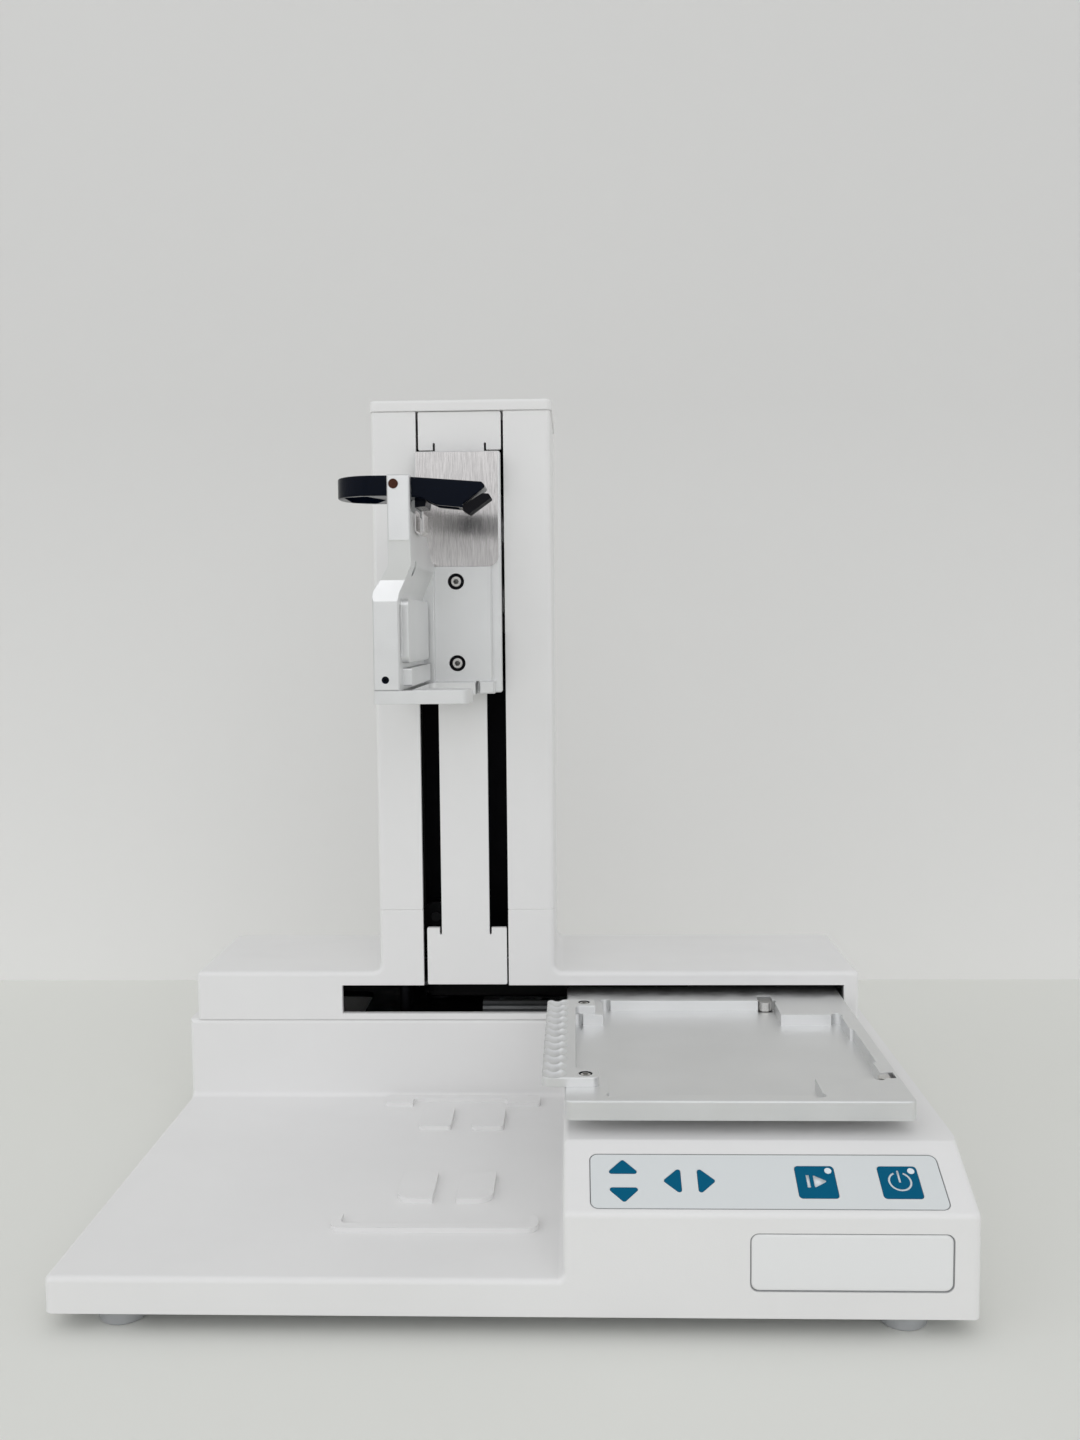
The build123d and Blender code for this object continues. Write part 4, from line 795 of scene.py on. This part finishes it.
@dataclass
class Studio:
    """Table, wall, lamps, world and camera."""

    wall_y: float = 0.346
    reach: float = 4.0
    lens: float = 31.22
    sensor: float = 36.0
    camera_at: Triple = (0.02722, -0.58026, 0.26301)
    yaw: float = -0.029258
    pitch: float = 0.071338
    roll: float = -0.008895
    table_colours: tuple[Triple, Triple] = ((0.81, 0.815, 0.775), (0.825, 0.83, 0.79))
    # Painted light on the wall: a lighter colour at its foot, grading to a darker one higher up.
    wall_lit_and_shaded_colours: tuple[Triple, Triple] = ((0.875, 0.87, 0.855), (0.74, 0.735, 0.723))
    wall_shade_height: float = 0.45
    blotches_per_metre: float = 1.6
    lamps: tuple[Area, ...] = (
        Area("window_lamp", (0.35, -2.2, 1.85), (0.0, 0.0, 0.2), 2.4, 13.0),
        Area("side_lamp", (-1.7, -1.1, 1.5), (0.0, 0.0, 0.2), 2.0, 5.0, (0.98, 0.99, 1.0)),
    )
    room_tint: Triple = (0.97, 0.98, 1.0)
    room_height: float = 1.0
    room: tuple[Pair, ...] = ((0.0, 0.56), (0.073, 0.58), (0.0765, 0.62), (0.0915, 0.62), (0.0935, 0.86), (0.3, 0.8),
                              (1.0, 0.62))

    def sheet(self, name: str, corners: tuple[Triple, ...], material: bpy.types.Material) -> None:
        """Set up one flat stage surface from its four corners."""
        grid = np.array(corners).reshape(2, 2, 3)
        surface = grid_object(name, grid, around=False)
        surface.data.materials.append(material)

    def paint(self, name: str, low: Triple, high: Triple, one_sided: bool) -> bpy.types.Material:
        """Make the table's mottled paint, or the wall's, which shows from its front only and is painted lighter at
        its foot and darker higher up, as painted light and shade.

        Args:
            name: The material's name.
            low: One colour of its mottling, or the wall's lighter colour at its foot, which is painted light.
            high: The other colour, or the wall's darker colour higher up, which is painted shade.
            one_sided: Whether it is the wall's paint, whose back lets everything through.

        Returns:
            The material.
        """
        graph = Graph(name)
        if one_sided:
            # Painted light and shade: the wall grades from lighter at its foot to darker higher up.
            share = graph.rise(self.wall_shade_height)
        else:
            share = graph.noise(graph.place(), self.blotches_per_metre, 2.0)
        graph.link(graph.tint(share, low, high), graph.shader.inputs["Base Color"])
        graph.set(Roughness=0.75, Specular_IOR_Level=0.2)
        if one_sided:
            output = graph.tree.nodes["Material Output"]
            clear = graph.node("ShaderNodeBsdfTransparent")
            mix = graph.node("ShaderNodeMixShader")
            facing = graph.node("ShaderNodeNewGeometry")
            graph.link(facing.outputs["Backfacing"], mix.inputs["Fac"])
            graph.link(graph.shader.outputs["BSDF"], mix.inputs[1])
            graph.link(clear.outputs["BSDF"], mix.inputs[2])
            graph.link(mix.outputs["Shader"], output.inputs["Surface"])
        return graph.material

    def build_stage(self) -> None:
        """Lay the table and stand the wall behind it."""
        r, y = self.reach, self.wall_y
        table = self.paint("table_paint", *self.table_colours, False)
        wall = self.paint("wall_paint_and_shade", *self.wall_lit_and_shaded_colours, True)
        self.sheet("table_top", ((-r, -r, 0.0), (r, -r, 0.0), (-r, y, 0.0), (r, y, 0.0)), table)
        self.sheet("back_wall", ((-r, y, 0.0), (r, y, 0.0), (-r, y, r), (r, y, r)), wall)

    def build_light(self) -> None:
        """Hang the lamps and set a pale room, which is a little darker near the horizon.

        The room's brightness follows the height of the direction of sight, the sine of its angle
        over the horizon.
        """
        for lamp in self.lamps:
            lamp.build()
        world = bpy.data.worlds.new("soft_room")
        world.use_nodes = True
        tree = world.node_tree
        sight = tree.nodes.new("ShaderNodeTexCoord")
        parts = tree.nodes.new("ShaderNodeSeparateXYZ")
        span = tree.nodes.new("ShaderNodeMapRange")
        ramp = tree.nodes.new("ShaderNodeValToRGB")
        span.inputs["From Max"].default_value = self.room_height
        stops = ramp.color_ramp.elements
        for height, _ in self.room[1:-1]:
            stops.new(height / self.room_height)
        for stop, (_, level) in zip(stops, self.room):
            stop.color = (*shade(self.room_tint, level), 1.0)
        tree.links.new(sight.outputs["Generated"], parts.inputs["Vector"])
        tree.links.new(parts.outputs["Z"], span.inputs["Value"])
        tree.links.new(span.outputs["Result"], ramp.inputs["Fac"])
        tree.links.new(ramp.outputs["Color"], tree.nodes["Background"].inputs["Color"])
        bpy.context.scene.world = world

    def build_camera(self) -> None:
        """Stand the camera before the object, turned by yaw, then pitch, then roll."""
        forward = Vector((math.sin(self.yaw), math.cos(self.yaw), 0.0))
        right = Vector((math.cos(self.yaw), -math.sin(self.yaw), 0.0))
        up = Vector((0.0, 0.0, 1.0))
        ahead = forward * math.cos(self.pitch) - up * math.sin(self.pitch)
        head = up * math.cos(self.pitch) + forward * math.sin(self.pitch)
        side = right * math.cos(self.roll) + head * math.sin(self.roll)
        crown = head * math.cos(self.roll) - right * math.sin(self.roll)
        data = bpy.data.cameras.new("camera")
        data.lens = self.lens
        data.sensor_width = self.sensor
        camera = bpy.data.objects.new("camera", data)
        bpy.context.scene.collection.objects.link(camera)
        turn = Matrix((side, crown, -ahead)).transposed().to_4x4()
        camera.matrix_world = Matrix.Translation(self.camera_at) @ turn
        bpy.context.scene.camera = camera

    def build(self) -> None:
        """Set up the whole studio."""
        self.build_stage()
        self.build_light()
        self.build_camera()
        bpy.context.scene.view_settings.view_transform = "Standard"


def main() -> None:
    """Build every sub-assembly in order."""
    logging.basicConfig(level=logging.INFO, format="%(name)s: %(message)s")
    for assembly in (Casing(), Drives(), Keypad(), Badge(), Tray(), Holder(), Studio()):
        assembly.build()
        LOG.info("%s is done", type(assembly).__name__)


if __name__ == "__main__":
    main()
